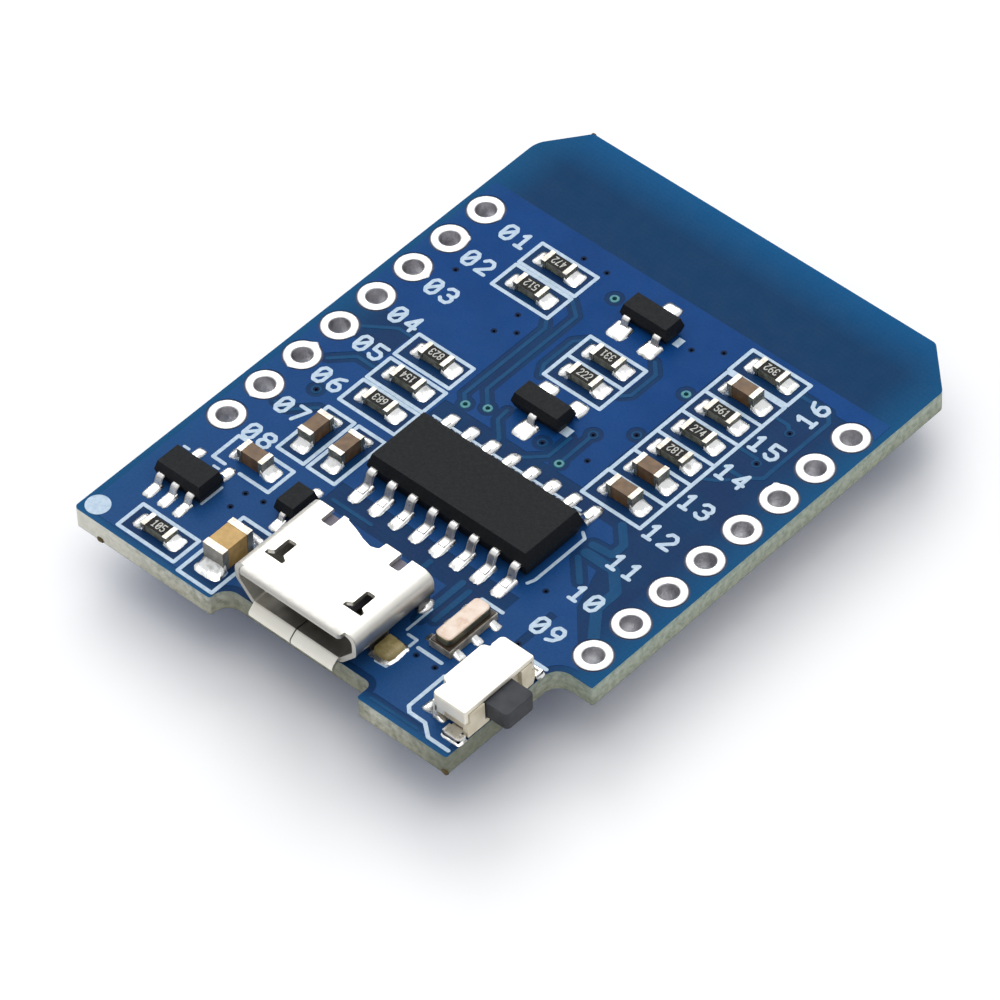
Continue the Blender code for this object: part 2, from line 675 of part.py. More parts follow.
def make_switch_housing():
    """Moulded tray: a spring pocket open at the top, a doorway for the button and two pillars."""
    inset = SWITCH_SHEET + SOLDER_GAP
    near = SWITCH_Y - SWITCH_HALF_LENGTH + inset
    far = SWITCH_Y + SWITCH_HALF_LENGTH - inset
    low = BOARD_TOP + HOUSING_LOW
    high = BOARD_TOP + HOUSING_TOP
    housing = make_object("switch_housing",
                          block((SWITCH_BACK_X + inset, near, low), (SWITCH_WALL_X, far, high)),
                          "switch_ivory")
    crown = high - STRIP_INSET
    shoulder = BOARD_TOP + SWITCH_SKIRT - 0.05
    near_pillar = [
        (near + STRIP_INSET, crown), (near + STRIP_INSET, shoulder),
        (near - PILLAR_BULGE, shoulder), (near - PILLAR_BULGE, PART_SEAT),
        (NEAR_PILLAR_Y, PART_SEAT), (NEAR_PILLAR_Y, BOARD_TOP + 0.25),
        (NEAR_PILLAR_STEP_Y, BOARD_TOP + 0.34), (NEAR_PILLAR_STEP_Y, crown),
    ]
    far_pillar = [
        (far - STRIP_INSET, crown), (FAR_PILLAR_Y, crown), (FAR_PILLAR_Y, BOARD_TOP + 0.6),
        (FAR_PILLAR_FOOT_Y, PART_SEAT), (far, PART_SEAT), (far + PILLAR_BULGE, BOARD_TOP + 0.4),
        (far + PILLAR_BULGE, shoulder), (far - STRIP_INSET, shoulder),
    ]
    for word, profile in (("near", near_pillar), ("far", far_pillar)):
        join(housing, word + "_pillar", prism(profile, "x", SWITCH_WALL_X - 0.06, SWITCH_FACE_X))
    floor = BOARD_TOP + BUTTON_LOW - 0.04
    pocket = block((POCKET_BACK_X, SWITCH_Y - POCKET_HALF_LENGTH, floor),
                   (POCKET_FRONT_X, SWITCH_Y + POCKET_HALF_LENGTH, high + 0.5))
    cut(housing, "spring_pocket_cutter", pocket)
    half = BUTTON_HALF_WIDTH + 0.05
    doorway = block((DOORWAY_BACK_X, BUTTON_Y - half, floor),
                    (SWITCH_FACE_X + 0.5, BUTTON_Y + half, high + 0.5))
    cut(housing, "doorway_cutter", doorway)


def make_switch_cover():
    """Folded steel cap over the housing's top, back and ends, with two soldered legs."""
    near = SWITCH_Y - SWITCH_HALF_LENGTH
    far = SWITCH_Y + SWITCH_HALF_LENGTH
    top = BOARD_TOP + SWITCH_TOP
    skirt = BOARD_TOP + SWITCH_SKIRT
    back = SWITCH_BACK_X
    outline = [
        (back + 0.25, near, 0.1), (SWITCH_COVER_X, near, 0.0), (SWITCH_COVER_X, far, 0.0),
        (back + 0.25, far, 0.1), (back, far - 0.25, 0.1), (back, near + 0.25, 0.1),
    ]
    cover = make_object("switch_cover",
                        prism(rounded_outline(outline, 2), "z", skirt, top), "switch_steel")
    inside = block((back + SWITCH_SHEET, near + SWITCH_SHEET, skirt - 0.5),
                   (SWITCH_FACE_X + 0.5, far - SWITCH_SHEET, top - SWITCH_SHEET))
    cut(cover, "cover_hollow_cutter", inside)
    scoop = prism(circle((back - 0.1, SWITCH_Y + 1.4), 0.3, 12), "z", top - SWITCH_SHEET - 0.1,
                  top + 0.2)
    cut(cover, "cover_scoop_cutter", scoop)
    for word, start in (("near", near + 0.3), ("far", far - 0.9)):
        outer = back + STRIP_INSET
        inner = back + SWITCH_SHEET - STRIP_INSET
        toe = outer - COVER_FOOT
        sole = PART_SEAT + 0.15
        leg = [(outer, skirt + 0.1), (outer, sole), (toe, sole), (toe, PART_SEAT),
               (inner, PART_SEAT), (inner, skirt + 0.1)]
        join(cover, word + "_cover_leg", prism(leg, "y", start, start + COVER_LEG_WIDTH))


def make_switch_button():
    """Push stem with a flange that the doorway holds in and a nib that presses the spring."""
    low = BOARD_TOP + BUTTON_LOW
    high = BOARD_TOP + BUTTON_HIGH
    origin = (SWITCH_FACE_X, BUTTON_Y, (low + high) / 2)
    nose = BUTTON_HALF_WIDTH
    flange = BUTTON_FLANGE_HALF_WIDTH
    back = BUTTON_FLANGE_BACK_X
    front = BUTTON_FLANGE_FRONT_X
    outline = rounded_outline([
        (back, BUTTON_Y - flange, 0.0), (front, BUTTON_Y - flange, 0.0),
        (front, BUTTON_Y - nose, 0.0), (BUTTON_TIP_X, BUTTON_Y - nose, 0.25),
        (BUTTON_TIP_X, BUTTON_Y + nose, 0.25), (front, BUTTON_Y + nose, 0.0),
        (front, BUTTON_Y + flange, 0.0), (back, BUTTON_Y + flange, 0.0),
        (back, BUTTON_Y + 0.3, 0.0), (BUTTON_NIB_X, BUTTON_Y + 0.2, 0.0),
        (BUTTON_NIB_X, BUTTON_Y - 0.2, 0.0), (back, BUTTON_Y - 0.3, 0.0),
    ])
    make_object("switch_button", prism(outline, "z", low, high), "button_black", origin)


def make_switch_spring():
    """Bowed snap leaf that stands in the pocket and is sprung towards the button."""
    steps = 10
    front = []
    back = []
    for step in range(steps + 1):
        along = -1 + 2 * step / steps
        x = LEAF_BACK_X + LEAF_BOW * (1 - along * along)
        y = SWITCH_Y + LEAF_HALF_SPAN * along
        back.append((x, y))
        front.append((x + LEAF_THICKNESS, y))
    outline = back + front[::-1]
    leaf = prism(outline, "z", BOARD_TOP + LEAF_LOW, BOARD_TOP + LEAF_HIGH)
    make_object("switch_spring_leaf", leaf, "switch_steel")


def make_switch_terminals():
    """Two contact strips that come out under the housing's ends."""
    strip_top = PART_SEAT + TERMINAL_THICKNESS
    for word, side in (("front", -1), ("rear", 1)):
        end = SWITCH_Y + side * (SWITCH_HALF_LENGTH + 0.5)
        start = SWITCH_Y + side * 0.6
        low = (TERMINAL_BACK_X, min(start, end), PART_SEAT)
        high = (TERMINAL_FRONT_X, max(start, end), strip_top)
        make_object(f"switch_terminal_{word}", bevelled_block(low, high, 0.03), "switch_steel")


# ---------------------------------------------------------------- radio module

def make_module_board():
    bm = block((-MODULE_HALF_WIDTH, MODULE_NEAR_Y, MODULE_BOTTOM),
               (MODULE_HALF_WIDTH, MODULE_FAR_Y, MODULE_TOP))
    board = make_object("module_board", bm, "module_blue")
    notches = bmesh.new()
    low = MODULE_BOTTOM - 0.5
    high = MODULE_TOP + 0.5
    for index in range(MODULE_SIDE_PADS):
        y = MODULE_NEAR_Y + MODULE_FIRST_PAD + index * MODULE_PAD_PITCH
        for side in (-1, 1):
            edge = circle((side * MODULE_HALF_WIDTH, y), MODULE_PAD_RADIUS, 8)
            add_prism(notches, edge, "z", low, high)
    for index in range(MODULE_END_PADS):
        x = (index - (MODULE_END_PADS - 1) / 2) * MODULE_PAD_PITCH
        add_prism(notches, circle((x, MODULE_NEAR_Y), MODULE_PAD_RADIUS, 8), "z", low, high)
    cut(board, "castellation_cutters", notches)


def make_module_shield():
    """Drawn steel can, open towards the module's board, whose flat lid is the resting face."""
    centre = (0.0, (CAN_NEAR_Y + CAN_FAR_Y) / 2)
    half_y = CAN_LENGTH / 2
    outer = []
    for height, inset in ((0.0, 0.2), (0.06, 0.06), (0.2, 0.0), (CAN_HEIGHT, 0.0)):
        outline = rounded_rectangle(centre, CAN_HALF_WIDTH - inset, half_y - inset, 0.6 - inset)
        outer.append([(*point, height) for point in outline])
    can = bmesh.new()
    add_loft(can, outer)
    shield = make_object("module_shield", can, "can_steel")
    hollow = rounded_rectangle(centre, CAN_HALF_WIDTH - CAN_WALL, half_y - CAN_WALL, 0.4)
    cut(shield, "can_hollow_cutter", prism(hollow, "z", CAN_WALL, CAN_HEIGHT + 0.5))


def hang_box(place, size):
    """Low and high corners of a part soldered to the module's lower face."""
    high_z = MODULE_BOTTOM - SOLDER_GAP
    low = (place[0] - size[0] / 2, place[1] - size[1] / 2, high_z - size[2])
    high = (place[0] + size[0] / 2, place[1] + size[1] / 2, high_z)
    return low, high


def make_module_parts():
    pieces = [
        ("module_processor", (-1.6, 3.6), (5.0, 5.0, 0.85), "chip_black"),
        ("module_flash_chip", (-1.4, -2.2), (5.0, 4.0, 0.8), "chip_black"),
        ("module_crystal", (3.9, 4.6), (2.5, 3.2, 0.7), "crystal_steel"),
        ("module_capacitor_1", (3.6, 0.6), (1.0, 0.5, 0.5), "capacitor_brown"),
        ("module_capacitor_2", (3.6, -1.0), (1.0, 0.5, 0.5), "capacitor_brown"),
        ("module_resistor", (3.6, -2.6), (1.0, 0.5, 0.35), "resistor_ceramic"),
        ("module_status_led", (-6.9, 10.1), (0.8, 1.6, 0.5), "led_white"),
        ("module_led_resistor", (-4.6, 10.2), (1.0, 0.5, 0.35), "resistor_ceramic"),
    ]
    for name, place, size, slot in pieces:
        make_object(name, bevelled_block(*hang_box(place, size), 0.03), slot)


def build():
    clear_scene()
    make_circuit_board()
    make_serial_chip()
    make_transistors()
    make_regulator()
    make_diode()
    make_resistors()
    make_capacitors()
    make_resonator()
    make_usb_shell()
    make_usb_insulator()
    make_usb_contacts()
    make_switch_housing()
    make_switch_cover()
    make_switch_button()
    make_switch_spring()
    make_switch_terminals()
    make_module_board()
    make_module_shield()
    make_module_parts()


build()
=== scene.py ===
"""Looks of the microcontroller dev board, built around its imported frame.

Lengths are in millimetres in the row frame until a mesh is made, where they become metres.
The places of parts come from the frame's own nodes. What is printed, etched or soldered on the
board, and the folds and cuts of the socket's sheet steel, are listed here on the board's own plan:
+X to the right, +Y towards the antenna end.
"""

import math

import bmesh
import bpy
from mathutils import Matrix, Vector, noise
from mathutils.geometry import delaunay_2d_cdt


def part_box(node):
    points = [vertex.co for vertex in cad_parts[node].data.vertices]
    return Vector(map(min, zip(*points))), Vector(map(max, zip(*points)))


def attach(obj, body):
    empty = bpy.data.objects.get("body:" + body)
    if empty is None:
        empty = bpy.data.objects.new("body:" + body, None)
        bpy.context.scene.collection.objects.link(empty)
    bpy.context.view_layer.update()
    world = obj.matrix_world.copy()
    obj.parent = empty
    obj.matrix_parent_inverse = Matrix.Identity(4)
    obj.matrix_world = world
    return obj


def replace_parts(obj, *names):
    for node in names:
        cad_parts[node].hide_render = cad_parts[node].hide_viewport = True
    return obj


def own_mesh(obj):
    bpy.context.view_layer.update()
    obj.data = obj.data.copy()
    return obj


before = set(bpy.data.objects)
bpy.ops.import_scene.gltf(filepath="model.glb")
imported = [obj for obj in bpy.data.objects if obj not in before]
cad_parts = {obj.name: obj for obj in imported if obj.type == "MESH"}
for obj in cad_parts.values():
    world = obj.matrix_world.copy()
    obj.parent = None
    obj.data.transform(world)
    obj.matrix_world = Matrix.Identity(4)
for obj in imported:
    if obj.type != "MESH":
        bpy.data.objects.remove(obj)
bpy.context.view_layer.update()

MM = 0.001
BOARD = "board_assembly"
BUTTON = "reset_button"


def box_mm(node):
    """A node's lowest and highest corners in millimetres."""
    low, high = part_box(node)
    return low / MM, high / MM


UNDER = box_mm("circuit_board")[0].z
TOP = box_mm("circuit_board")[1].z
SEAT = box_mm("resistor_01")[0].z

# Layers of the board, from its outer faces inwards
MASK = 0.03
COPPER_STEP = 0.014
INK = 0.014
EDGE_PULLBACK = 0.35

# Plated holes
HOLE_RADIUS = 0.5
RING_RADIUS = 0.93
MASK_OPENING = 1.0
VIA_HOLE = 0.16
VIA_RING = 0.26

# Gaps in the copper pour
TRACK_CLEARANCE = 0.25
VIA_CLEARANCE = 0.5

# Gloss of the solder mask, where an ordinary varnish has 0.5
MASK_GLOSS = 0.04

# How rolling marks are drawn out along Y, and the colour of the shade painted on the board's edges
ROLLED = (1.0, 0.25, 1.0)
PAINTED_EDGE_SHADE = (0.115, 0.125, 0.085)


# ---------------------------------------------------------------- materials

class Look:
    """A Principled material whose colour, roughness and relief come from procedural nodes."""

    def __init__(self, name, metallic=0.0, specular=0.5, roughness=0.5):
        self.material = bpy.data.materials.new(name)
        self.material.use_nodes = True
        self.nodes = self.material.node_tree.nodes
        self.link = self.material.node_tree.links.new
        self.shader = self.nodes["Principled BSDF"].inputs
        self.shader["Metallic"].default_value = metallic
        self.shader["Specular IOR Level"].default_value = specular
        self.shader["Roughness"].default_value = roughness
        place = self.node("ShaderNodeTexCoord")
        scale = self.node("ShaderNodeVectorMath", {"Scale": 1 / MM}, operation="SCALE")
        self.link(place.outputs["Object"], scale.inputs[0])
        self.place = scale.outputs["Vector"]

    def node(self, kind, inputs=None, **settings):
        made = self.nodes.new(kind)
        for name, value in settings.items():
            setattr(made, name, value)
        for name, value in (inputs or {}).items():
            made.inputs[name].default_value = value
        return made

    def noise(self, scale, detail, stretch=None):
        """Cloud-like values from 0 to 1. scale is in features per millimetre."""
        made = self.node("ShaderNodeTexNoise", {"Scale": scale, "Detail": detail})
        self.link(self.stretched(stretch), made.inputs["Vector"])
        return made.outputs["Fac"]

    def cells(self, scale):
        made = self.node("ShaderNodeTexVoronoi", {"Scale": scale})
        self.link(self.place, made.inputs["Vector"])
        return made.outputs["Distance"]

    def waves(self, scale, direction):
        settings = {"Scale": scale, "Distortion": 0.5, "Detail": 2.0}
        made = self.node("ShaderNodeTexWave", settings, bands_direction=direction)
        self.link(self.place, made.inputs["Vector"])
        return made.outputs["Fac"]

    def stretched(self, stretch):
        if stretch is None:
            return self.place
        mapping = self.node("ShaderNodeMapping", {"Scale": stretch})
        self.link(self.place, mapping.inputs["Vector"])
        return mapping.outputs["Vector"]

    def along(self, axis):
        """A point's place along X, Y or Z, in millimetres."""
        split = self.node("ShaderNodeSeparateXYZ")
        self.link(self.place, split.inputs[0])
        return split.outputs[axis]

    def axis(self, name, low, high):
        """How far a point is from low to high along one axis, from 0 to 1."""
        return self.remap(self.along(name), low, high)

    def edge_distance(self, name, start, end):
        """0 inside start and 1 outside end, measured both ways from the middle along one axis."""
        return self.remap(self.math("ABSOLUTE", self.along(name)), start, end)

    def remap(self, value, low, high, new_low=0.0, new_high=1.0):
        limits = {"From Min": low, "From Max": high, "To Min": new_low, "To Max": new_high}
        made = self.node("ShaderNodeMapRange", limits)
        self.link(value, made.inputs["Value"])
        return made.outputs["Result"]

    def math(self, operation, first, second=None):
        made = self.node("ShaderNodeMath", operation=operation)
        for place, value in enumerate((first, second)):
            if isinstance(value, (int, float)):
                made.inputs[place].default_value = value
            elif value is not None:
                self.link(value, made.inputs[place])
        return made.outputs[0]

    def product(self, first, second):
        return self.math("MULTIPLY", first, second)

    def ramp(self, factor, *stops):
        """Colours along a value, given as (position, (r, g, b)) stops."""
        made = self.node("ShaderNodeValToRGB")
        elements = made.color_ramp.elements
        while len(elements) < len(stops):
            elements.new(0.5)
        for element, (position, colour) in zip(elements, stops):
            element.position = position
            element.color = (*colour, 1.0)
        self.link(factor, made.inputs["Fac"])
        return made.outputs["Color"]

    def clouds(self, scale, dark, light, detail=4.0, low=0.3, high=0.7):
        """Colour that drifts from dark to light. scale is in features per millimetre."""
        return self.ramp(self.noise(scale, detail), (low, dark), (high, light))

    def mix(self, factor, first, second, blend="MIX"):
        """first where factor is 0 and second where it is 1. Colours are sockets or (r, g, b)."""
        made = self.node("ShaderNodeMix", data_type="RGBA", blend_type=blend)
        for place, value in ((0, factor), (6, first), (7, second)):
            if isinstance(value, (int, float)):
                made.inputs[place].default_value = value
            elif isinstance(value, tuple):
                made.inputs[place].default_value = (*value, 1.0)
            else:
                self.link(value, made.inputs[place])
        return made.outputs[2]

    def grained(self, socket):
        """The colour with a faint fine grain."""
        grain = self.clouds(9.0, (0.80, 0.80, 0.80), (1.0, 1.0, 1.0), 3.0, 0.25, 0.75)
        return self.mix(1.0, socket, grain, "MULTIPLY")

    def colour(self, socket):
        self.link(socket, self.shader["Base Color"])

    def roughen(self, factor, low, high):
        self.link(self.remap(factor, 0.25, 0.75, low, high), self.shader["Roughness"])

    def relief(self, height, depth):
        """Small bumps of the given depth in millimetres. Returns the finished look."""
        made = self.node("ShaderNodeBump", {"Strength": 1.0, "Distance": depth * MM})
        self.link(height, made.inputs["Height"])
        self.link(made.outputs["Normal"], self.shader["Normal"])
        return self


LOOKS = {}


def look(name):
    """The material of that name, made on first use by its recipe."""
    if name not in LOOKS:
        maker, *settings = RECIPES[name]
        LOOKS[name] = maker(name, *settings).material
    return LOOKS[name]


def painted(name, dark, light, roughness, grain=6.0, specular=0.5, depth=0.004):
    """A matt or satin solid colour with cloudy tone and a fine-grained skin."""
    made = Look(name, specular=specular)
    made.colour(made.clouds(grain * 0.25, dark, light))
    made.roughen(made.noise(grain, 3.0), roughness - 0.06, roughness + 0.08)
    return made.relief(made.noise(grain * 4, 3.0), depth)


def plated(name, dark, light, low, high, grain=5.0, depth=0.004, metallic=1.0):
    """Plated or bare sheet metal with faint cloudy dulling and rolling marks."""
    made = Look(name, metallic=metallic)
    made.colour(made.clouds(grain * 0.3, dark, light))
    made.roughen(made.noise(grain, 4.0), low, high)
    return made.relief(made.noise(grain * 3, 3.0, stretch=ROLLED), depth)


def ceramic_chip(name, dark, light):
    made = Look(name, specular=0.45)
    made.colour(made.clouds(3.0, dark, light, 5.0, high=0.75))
    made.roughen(made.noise(6.0, 3.0), 0.34, 0.52)
    return made.relief(made.noise(16.0, 4.0), 0.006)


def mask_copper(name):
    """Mask over the copper pour: paler towards the socket, with painted light in teal at the long
    edges.
    """
    made = Look(name, specular=MASK_GLOSS)
    cloudy = made.clouds(0.35, (0.0045, 0.051, 0.198), (0.0070, 0.061, 0.228), low=0.35)
    toned = made.mix(made.axis("Y", 6.0, -17.0), cloudy, (0.017, 0.074, 0.215))
    # Teal at the long edges: painted light.
    side = made.product(made.edge_distance("X", 11.0, 12.5), 0.5)
    made.colour(made.grained(made.mix(side, toned, (0.010, 0.084, 0.229))))
    made.roughen(made.noise(1.2, 3.0), 0.28, 0.42)
    return made.relief(made.noise(3.5, 3.0), 0.004)


def mask_laminate(name):
    """Mask straight on the laminate: navy in the middle, teal where light leaks in at the edges."""
    made = Look(name, specular=MASK_GLOSS)
    toned = made.clouds(0.5, (0.010, 0.036, 0.112), (0.007, 0.044, 0.128), low=0.35)
    toned = made.mix(made.axis("Y", 9.0, 13.0), toned, (0.004, 0.043, 0.122))
    toned = made.mix(made.axis("Y", 14.3, 17.1), toned, (0.002, 0.095, 0.255))
    side = made.product(made.edge_distance("X", 10.4, 12.65), 0.85)
    toned = made.mix(side, toned, (0.004, 0.088, 0.220))
    near = made.product(made.axis("Y", -16.2, -16.9), 0.8)
    made.colour(made.grained(made.mix(near, toned, (0.010, 0.100, 0.250))))
    made.roughen(made.noise(1.2, 3.0), 0.30, 0.44)
    weave = made.math("ADD", made.waves(1.1, "X"), made.waves(1.1, "Y"))
    return made.relief(weave, 0.002)


def mask_track(name):
    made = Look(name, specular=MASK_GLOSS)
    made.colour(made.grained(made.clouds(0.8, (0.008, 0.066, 0.170), (0.013, 0.080, 0.195), 3.0)))
    made.roughen(made.noise(1.5, 2.0), 0.28, 0.40)
    return made.relief(made.noise(5.0, 3.0), 0.003)


def via_copper(name):
    made = Look(name, specular=0.4)
    made.colour(made.clouds(6.0, (0.010, 0.150, 0.230), (0.055, 0.270, 0.250), 3.0))
    made.roughen(made.noise(8.0, 2.0), 0.30, 0.45)
    return made.relief(made.noise(9.0, 3.0), 0.004)


def laminate(name):
    """Sawn glass-fibre edge: faint layers of cloth, stray fibres and specks of resin, with painted
    shade and painted light.
    """
    made = Look(name, specular=0.2, roughness=0.75)
    wobble = made.product(made.noise(2.6, 5.0), 0.9)
    layers = made.math("SINE", made.product(made.math("ADD", made.along("Z"), wobble), 24.0))
    cloth = made.ramp(made.remap(layers, -1.0, 1.0),
                      (0.0, (0.370, 0.375, 0.300)), (1.0, (0.520, 0.515, 0.440)))
    fibres = made.clouds(3.0, (0.21, 0.23, 0.18), (0.62, 0.62, 0.54), 8.0, 0.34, 0.60)
    toned = made.mix(0.6, cloth, fibres)
    # Greener and darker towards the right, on the side turned from the key light: painted shade.
    right_side_shade = made.product(made.axis("X", 9.0, 11.5), 0.4)
    toned = made.mix(right_side_shade, toned, (0.270, 0.370, 0.300))
    # Darker towards the underside, painted shade, and tinted blue at the top edge.
    rim = made.ramp(made.axis("Z", UNDER, TOP),
                    (0.0, (0.80, 0.78, 0.70)), (0.75, (1.0, 1.0, 1.0)), (1.0, (0.72, 0.86, 0.92)))
    toned = made.mix(1.0, toned, rim, "MULTIPLY")
    # Darker and browner on the front edges by the switch: painted shade.
    switch_corner_shade = made.product(made.axis("X", 6.5, 10.3), made.axis("Y", -8.5, -13.5))
    toned = made.mix(made.product(switch_corner_shade, 0.72), toned, PAINTED_EDGE_SHADE)
    # Darker on the front edge under the socket's lip: painted shadow of the lip.
    across = made.product(made.axis("X", -4.3, -3.6), made.axis("X", 6.0, 5.0))
    notch = made.product(across, made.axis("Y", -10.0, -14.0))
    toned = made.mix(made.product(notch, 0.55), toned, PAINTED_EDGE_SHADE)
    # Paler towards the left, where the key light falls: painted light.
    left_side_light = made.product(made.axis("X", -6.0, -11.5), 0.7)
    made.colour(made.mix(left_side_light, toned, (0.86, 0.85, 0.76)))
    return made.relief(made.noise(6.0, 6.0), 0.05)


def shell_metal(name):
    """Bright satin plating, with a painted reflection of the dark horizon down the sides and painted
    shade across the lip.
    """
    made = Look(name, metallic=1.0)
    bright = made.clouds(0.6, (0.88, 0.85, 0.77), (0.94, 0.92, 0.85))
    shaded_tone = made.clouds(1.5, (0.16, 0.16, 0.15), (0.26, 0.25, 0.23))
    # Darker down the sides: painted reflection of the dark horizon.
    toned = made.mix(made.axis("Z", TOP + 2.2, TOP + 1.35), bright, shaded_tone)
    # Darker across the lip: painted shade.
    made.colour(made.mix(made.axis("Y", -15.86, -16.0), toned, (0.50, 0.49, 0.455)))
    made.roughen(made.noise(2.0, 4.0), 0.38, 0.50)
    return made.relief(made.noise(6.0, 3.0, stretch=ROLLED), 0.002)


def shell_inside(name):
    """The inner face of the shell: dark with painted shade, and painted light from the mouth on its
    left.
    """
    made = Look(name, metallic=0.8)
    shaded_tone = made.clouds(1.2, (0.17, 0.16, 0.14), (0.27, 0.255, 0.225))
    lit = made.clouds(1.2, (0.55, 0.53, 0.46), (0.72, 0.70, 0.62))
    # Painted light on the left of the inside, painted shade to its right, where the tongue shades it.
    made.colour(made.mix(made.axis("X", -1.1, -2.1), shaded_tone, lit))
    made.roughen(made.noise(2.0, 4.0), 0.45, 0.60)
    return made.relief(made.noise(6.0, 3.0), 0.004)


def tin(name):
    """Reflowed solder: bright, rounded, with frosted and dull patches."""
    made = Look(name, metallic=1.0)
    patch = made.noise(1.7, 4.0)
    made.colour(made.ramp(patch, (0.30, (0.55, 0.55, 0.53)), (0.44, (0.93, 0.93, 0.91)),
                          (0.8, (0.98, 0.98, 0.97))))
    made.roughen(patch, 0.30, 0.16)
    return made.relief(made.noise(3.2, 4.0), 0.02)


def epoxy(name):
    made = Look(name, specular=0.16)
    made.colour(made.clouds(14.0, (0.008, 0.009, 0.010), (0.016, 0.0175, 0.019), 5.0, high=0.75))
    made.roughen(made.noise(5.0, 3.0), 0.52, 0.70)
    return made.relief(made.cells(16.0), 0.012)


def lid_metal(name):
    """Pale lacquered lid with warm mottling."""
    made = Look(name)
    made.colour(made.ramp(made.noise(1.9, 6.0), (0.30, (0.60, 0.39, 0.27)), (0.5, (0.76, 0.60, 0.48)),
                          (0.7, (0.82, 0.70, 0.60))))
    made.roughen(made.noise(4.0, 3.0), 0.30, 0.46)
    return made.relief(made.noise(7.0, 4.0), 0.008)


def ink(name):
    made = Look(name, specular=0.3)
    made.colour(made.clouds(5.0, (0.40, 0.52, 0.64), (0.54, 0.66, 0.77), 5.0))
    made.roughen(made.noise(9.0, 3.0), 0.46, 0.66)
    return made.relief(made.noise(11.0, 4.0), 0.006)


# Each look's maker and what the maker takes after the name
RECIPES = {
    "mask_over_copper": (mask_copper,),
    "mask_over_laminate": (mask_laminate,),
    "mask_over_track": (mask_track,),
    "via_copper": (via_copper,),
    "laminate": (laminate,),
    "ink": (ink,),
    "solder": (tin,),
    "shell_steel": (shell_metal,),
    "shell_inside": (shell_inside,),
    "chip_epoxy": (epoxy,),
    "resonator_lid": (lid_metal,),
    # Plated metal: dark, light, roughness from and to, grain, depth of relief, metallic
    "ring_tin": (plated, (0.88, 0.88, 0.87), (0.97, 0.97, 0.96), 0.30, 0.46, 3.0, 0.006),
    "barrel_tin": (plated, (0.42, 0.41, 0.43), (0.86, 0.85, 0.87), 0.26, 0.46, 4.0, 0.05),
    "lead_tin": (plated, (0.78, 0.77, 0.75), (0.92, 0.91, 0.89), 0.24, 0.40, 5.0, 0.006),
    "cap_tin": (plated, (0.50, 0.46, 0.39), (0.80, 0.76, 0.68), 0.38, 0.56, 7.0, 0.015),
    # The next two darken the upright faces of chip caps: painted shade.
    "bulk_cap_end": (plated, (0.34, 0.315, 0.27), (0.56, 0.52, 0.45), 0.40, 0.60, 7.0, 0.02),
    "cap_end": (plated, (0.17, 0.17, 0.135), (0.46, 0.45, 0.38), 0.40, 0.60, 9.0, 0.03),
    # The lower flange: a paler, nearly non-metallic copy of the shell's steel, a painted reflection of
    # the white floor.
    "shell_lip": (plated, (0.92, 0.89, 0.78), (0.98, 0.96, 0.87), 0.50, 0.65, 2.0, 0.002, 0.1),
    "switch_steel": (plated, (0.86, 0.81, 0.70), (0.94, 0.90, 0.80), 0.40, 0.55, 3.0, 0.003, 0.5),
    # The resonator lid's sides: brass darkened as a painted reflection of the dark horizon.
    "lid_brass": (plated, (0.20, 0.17, 0.09), (0.36, 0.31, 0.18), 0.28, 0.42, 4.0),
    "can_steel": (plated, (0.58, 0.58, 0.57), (0.70, 0.70, 0.68), 0.26, 0.42, 1.0),
    "crystal_steel": (plated, (0.66, 0.65, 0.62), (0.76, 0.75, 0.72), 0.22, 0.36, 4.0),
    "contact_gold": (plated, (0.72, 0.50, 0.18), (0.86, 0.65, 0.30), 0.22, 0.36, 4.0),
    # Ceramic: dark, light
    "alumina": (ceramic_chip, (0.080, 0.080, 0.058), (0.290, 0.290, 0.225)),
    "brown_ceramic": (ceramic_chip, (0.095, 0.047, 0.016), (0.200, 0.110, 0.042)),
    "tan_ceramic": (ceramic_chip, (0.420, 0.250, 0.060), (0.590, 0.370, 0.120)),
    "resonator_body": (ceramic_chip, (0.150, 0.132, 0.105), (0.430, 0.400, 0.340)),
    # Plastic, paint and resin: dark, light, roughness, grain, gloss, depth of relief
    "substrate": (painted, (0.006, 0.012, 0.050), (0.010, 0.020, 0.075), 0.5),
    "via_cover": (painted, (0.003, 0.012, 0.040), (0.005, 0.020, 0.062), 0.5, 6.0, 0.1),
    "resistor_coat": (painted, (0.006, 0.006, 0.006), (0.014, 0.0135, 0.013), 0.42, 9.0, 0.12),
    "code_ink": (painted, (0.42, 0.42, 0.38), (0.62, 0.61, 0.56), 0.6, 12.0),
    "resonator_seal": (painted, (0.020, 0.012, 0.008), (0.060, 0.038, 0.024), 0.45),
    "socket_plastic": (painted, (0.105, 0.095, 0.125), (0.160, 0.150, 0.185), 0.5),
    "switch_ivory": (painted, (0.640, 0.560, 0.400), (0.780, 0.710, 0.560), 0.45),
    "button_plastic": (painted, (0.034, 0.036, 0.041), (0.056, 0.058, 0.065), 0.6, 6.0, 0.25),
    "flux": (painted, (0.150, 0.115, 0.020), (0.560, 0.450, 0.220), 0.25, 3.0, 0.6, 0.02),
    "led_lens": (painted, (0.72, 0.70, 0.48), (0.84, 0.83, 0.66), 0.3),
    "scorch": (painted, (0.045, 0.030, 0.010), (0.150, 0.105, 0.045), 0.7, 8.0, 0.3, 0.02),
}


# ---------------------------------------------------------------- mesh helpers

def new_object(name, data):
    """An object linked to the scene."""
    made = bpy.data.objects.new(name, data)
    bpy.context.scene.collection.objects.link(made)
    return made


def to_object(name, bm):
    """An object that holds a bmesh, which is freed."""
    mesh = bpy.data.meshes.new(name)
    bm.to_mesh(mesh)
    bm.free()
    return new_object(name, mesh)


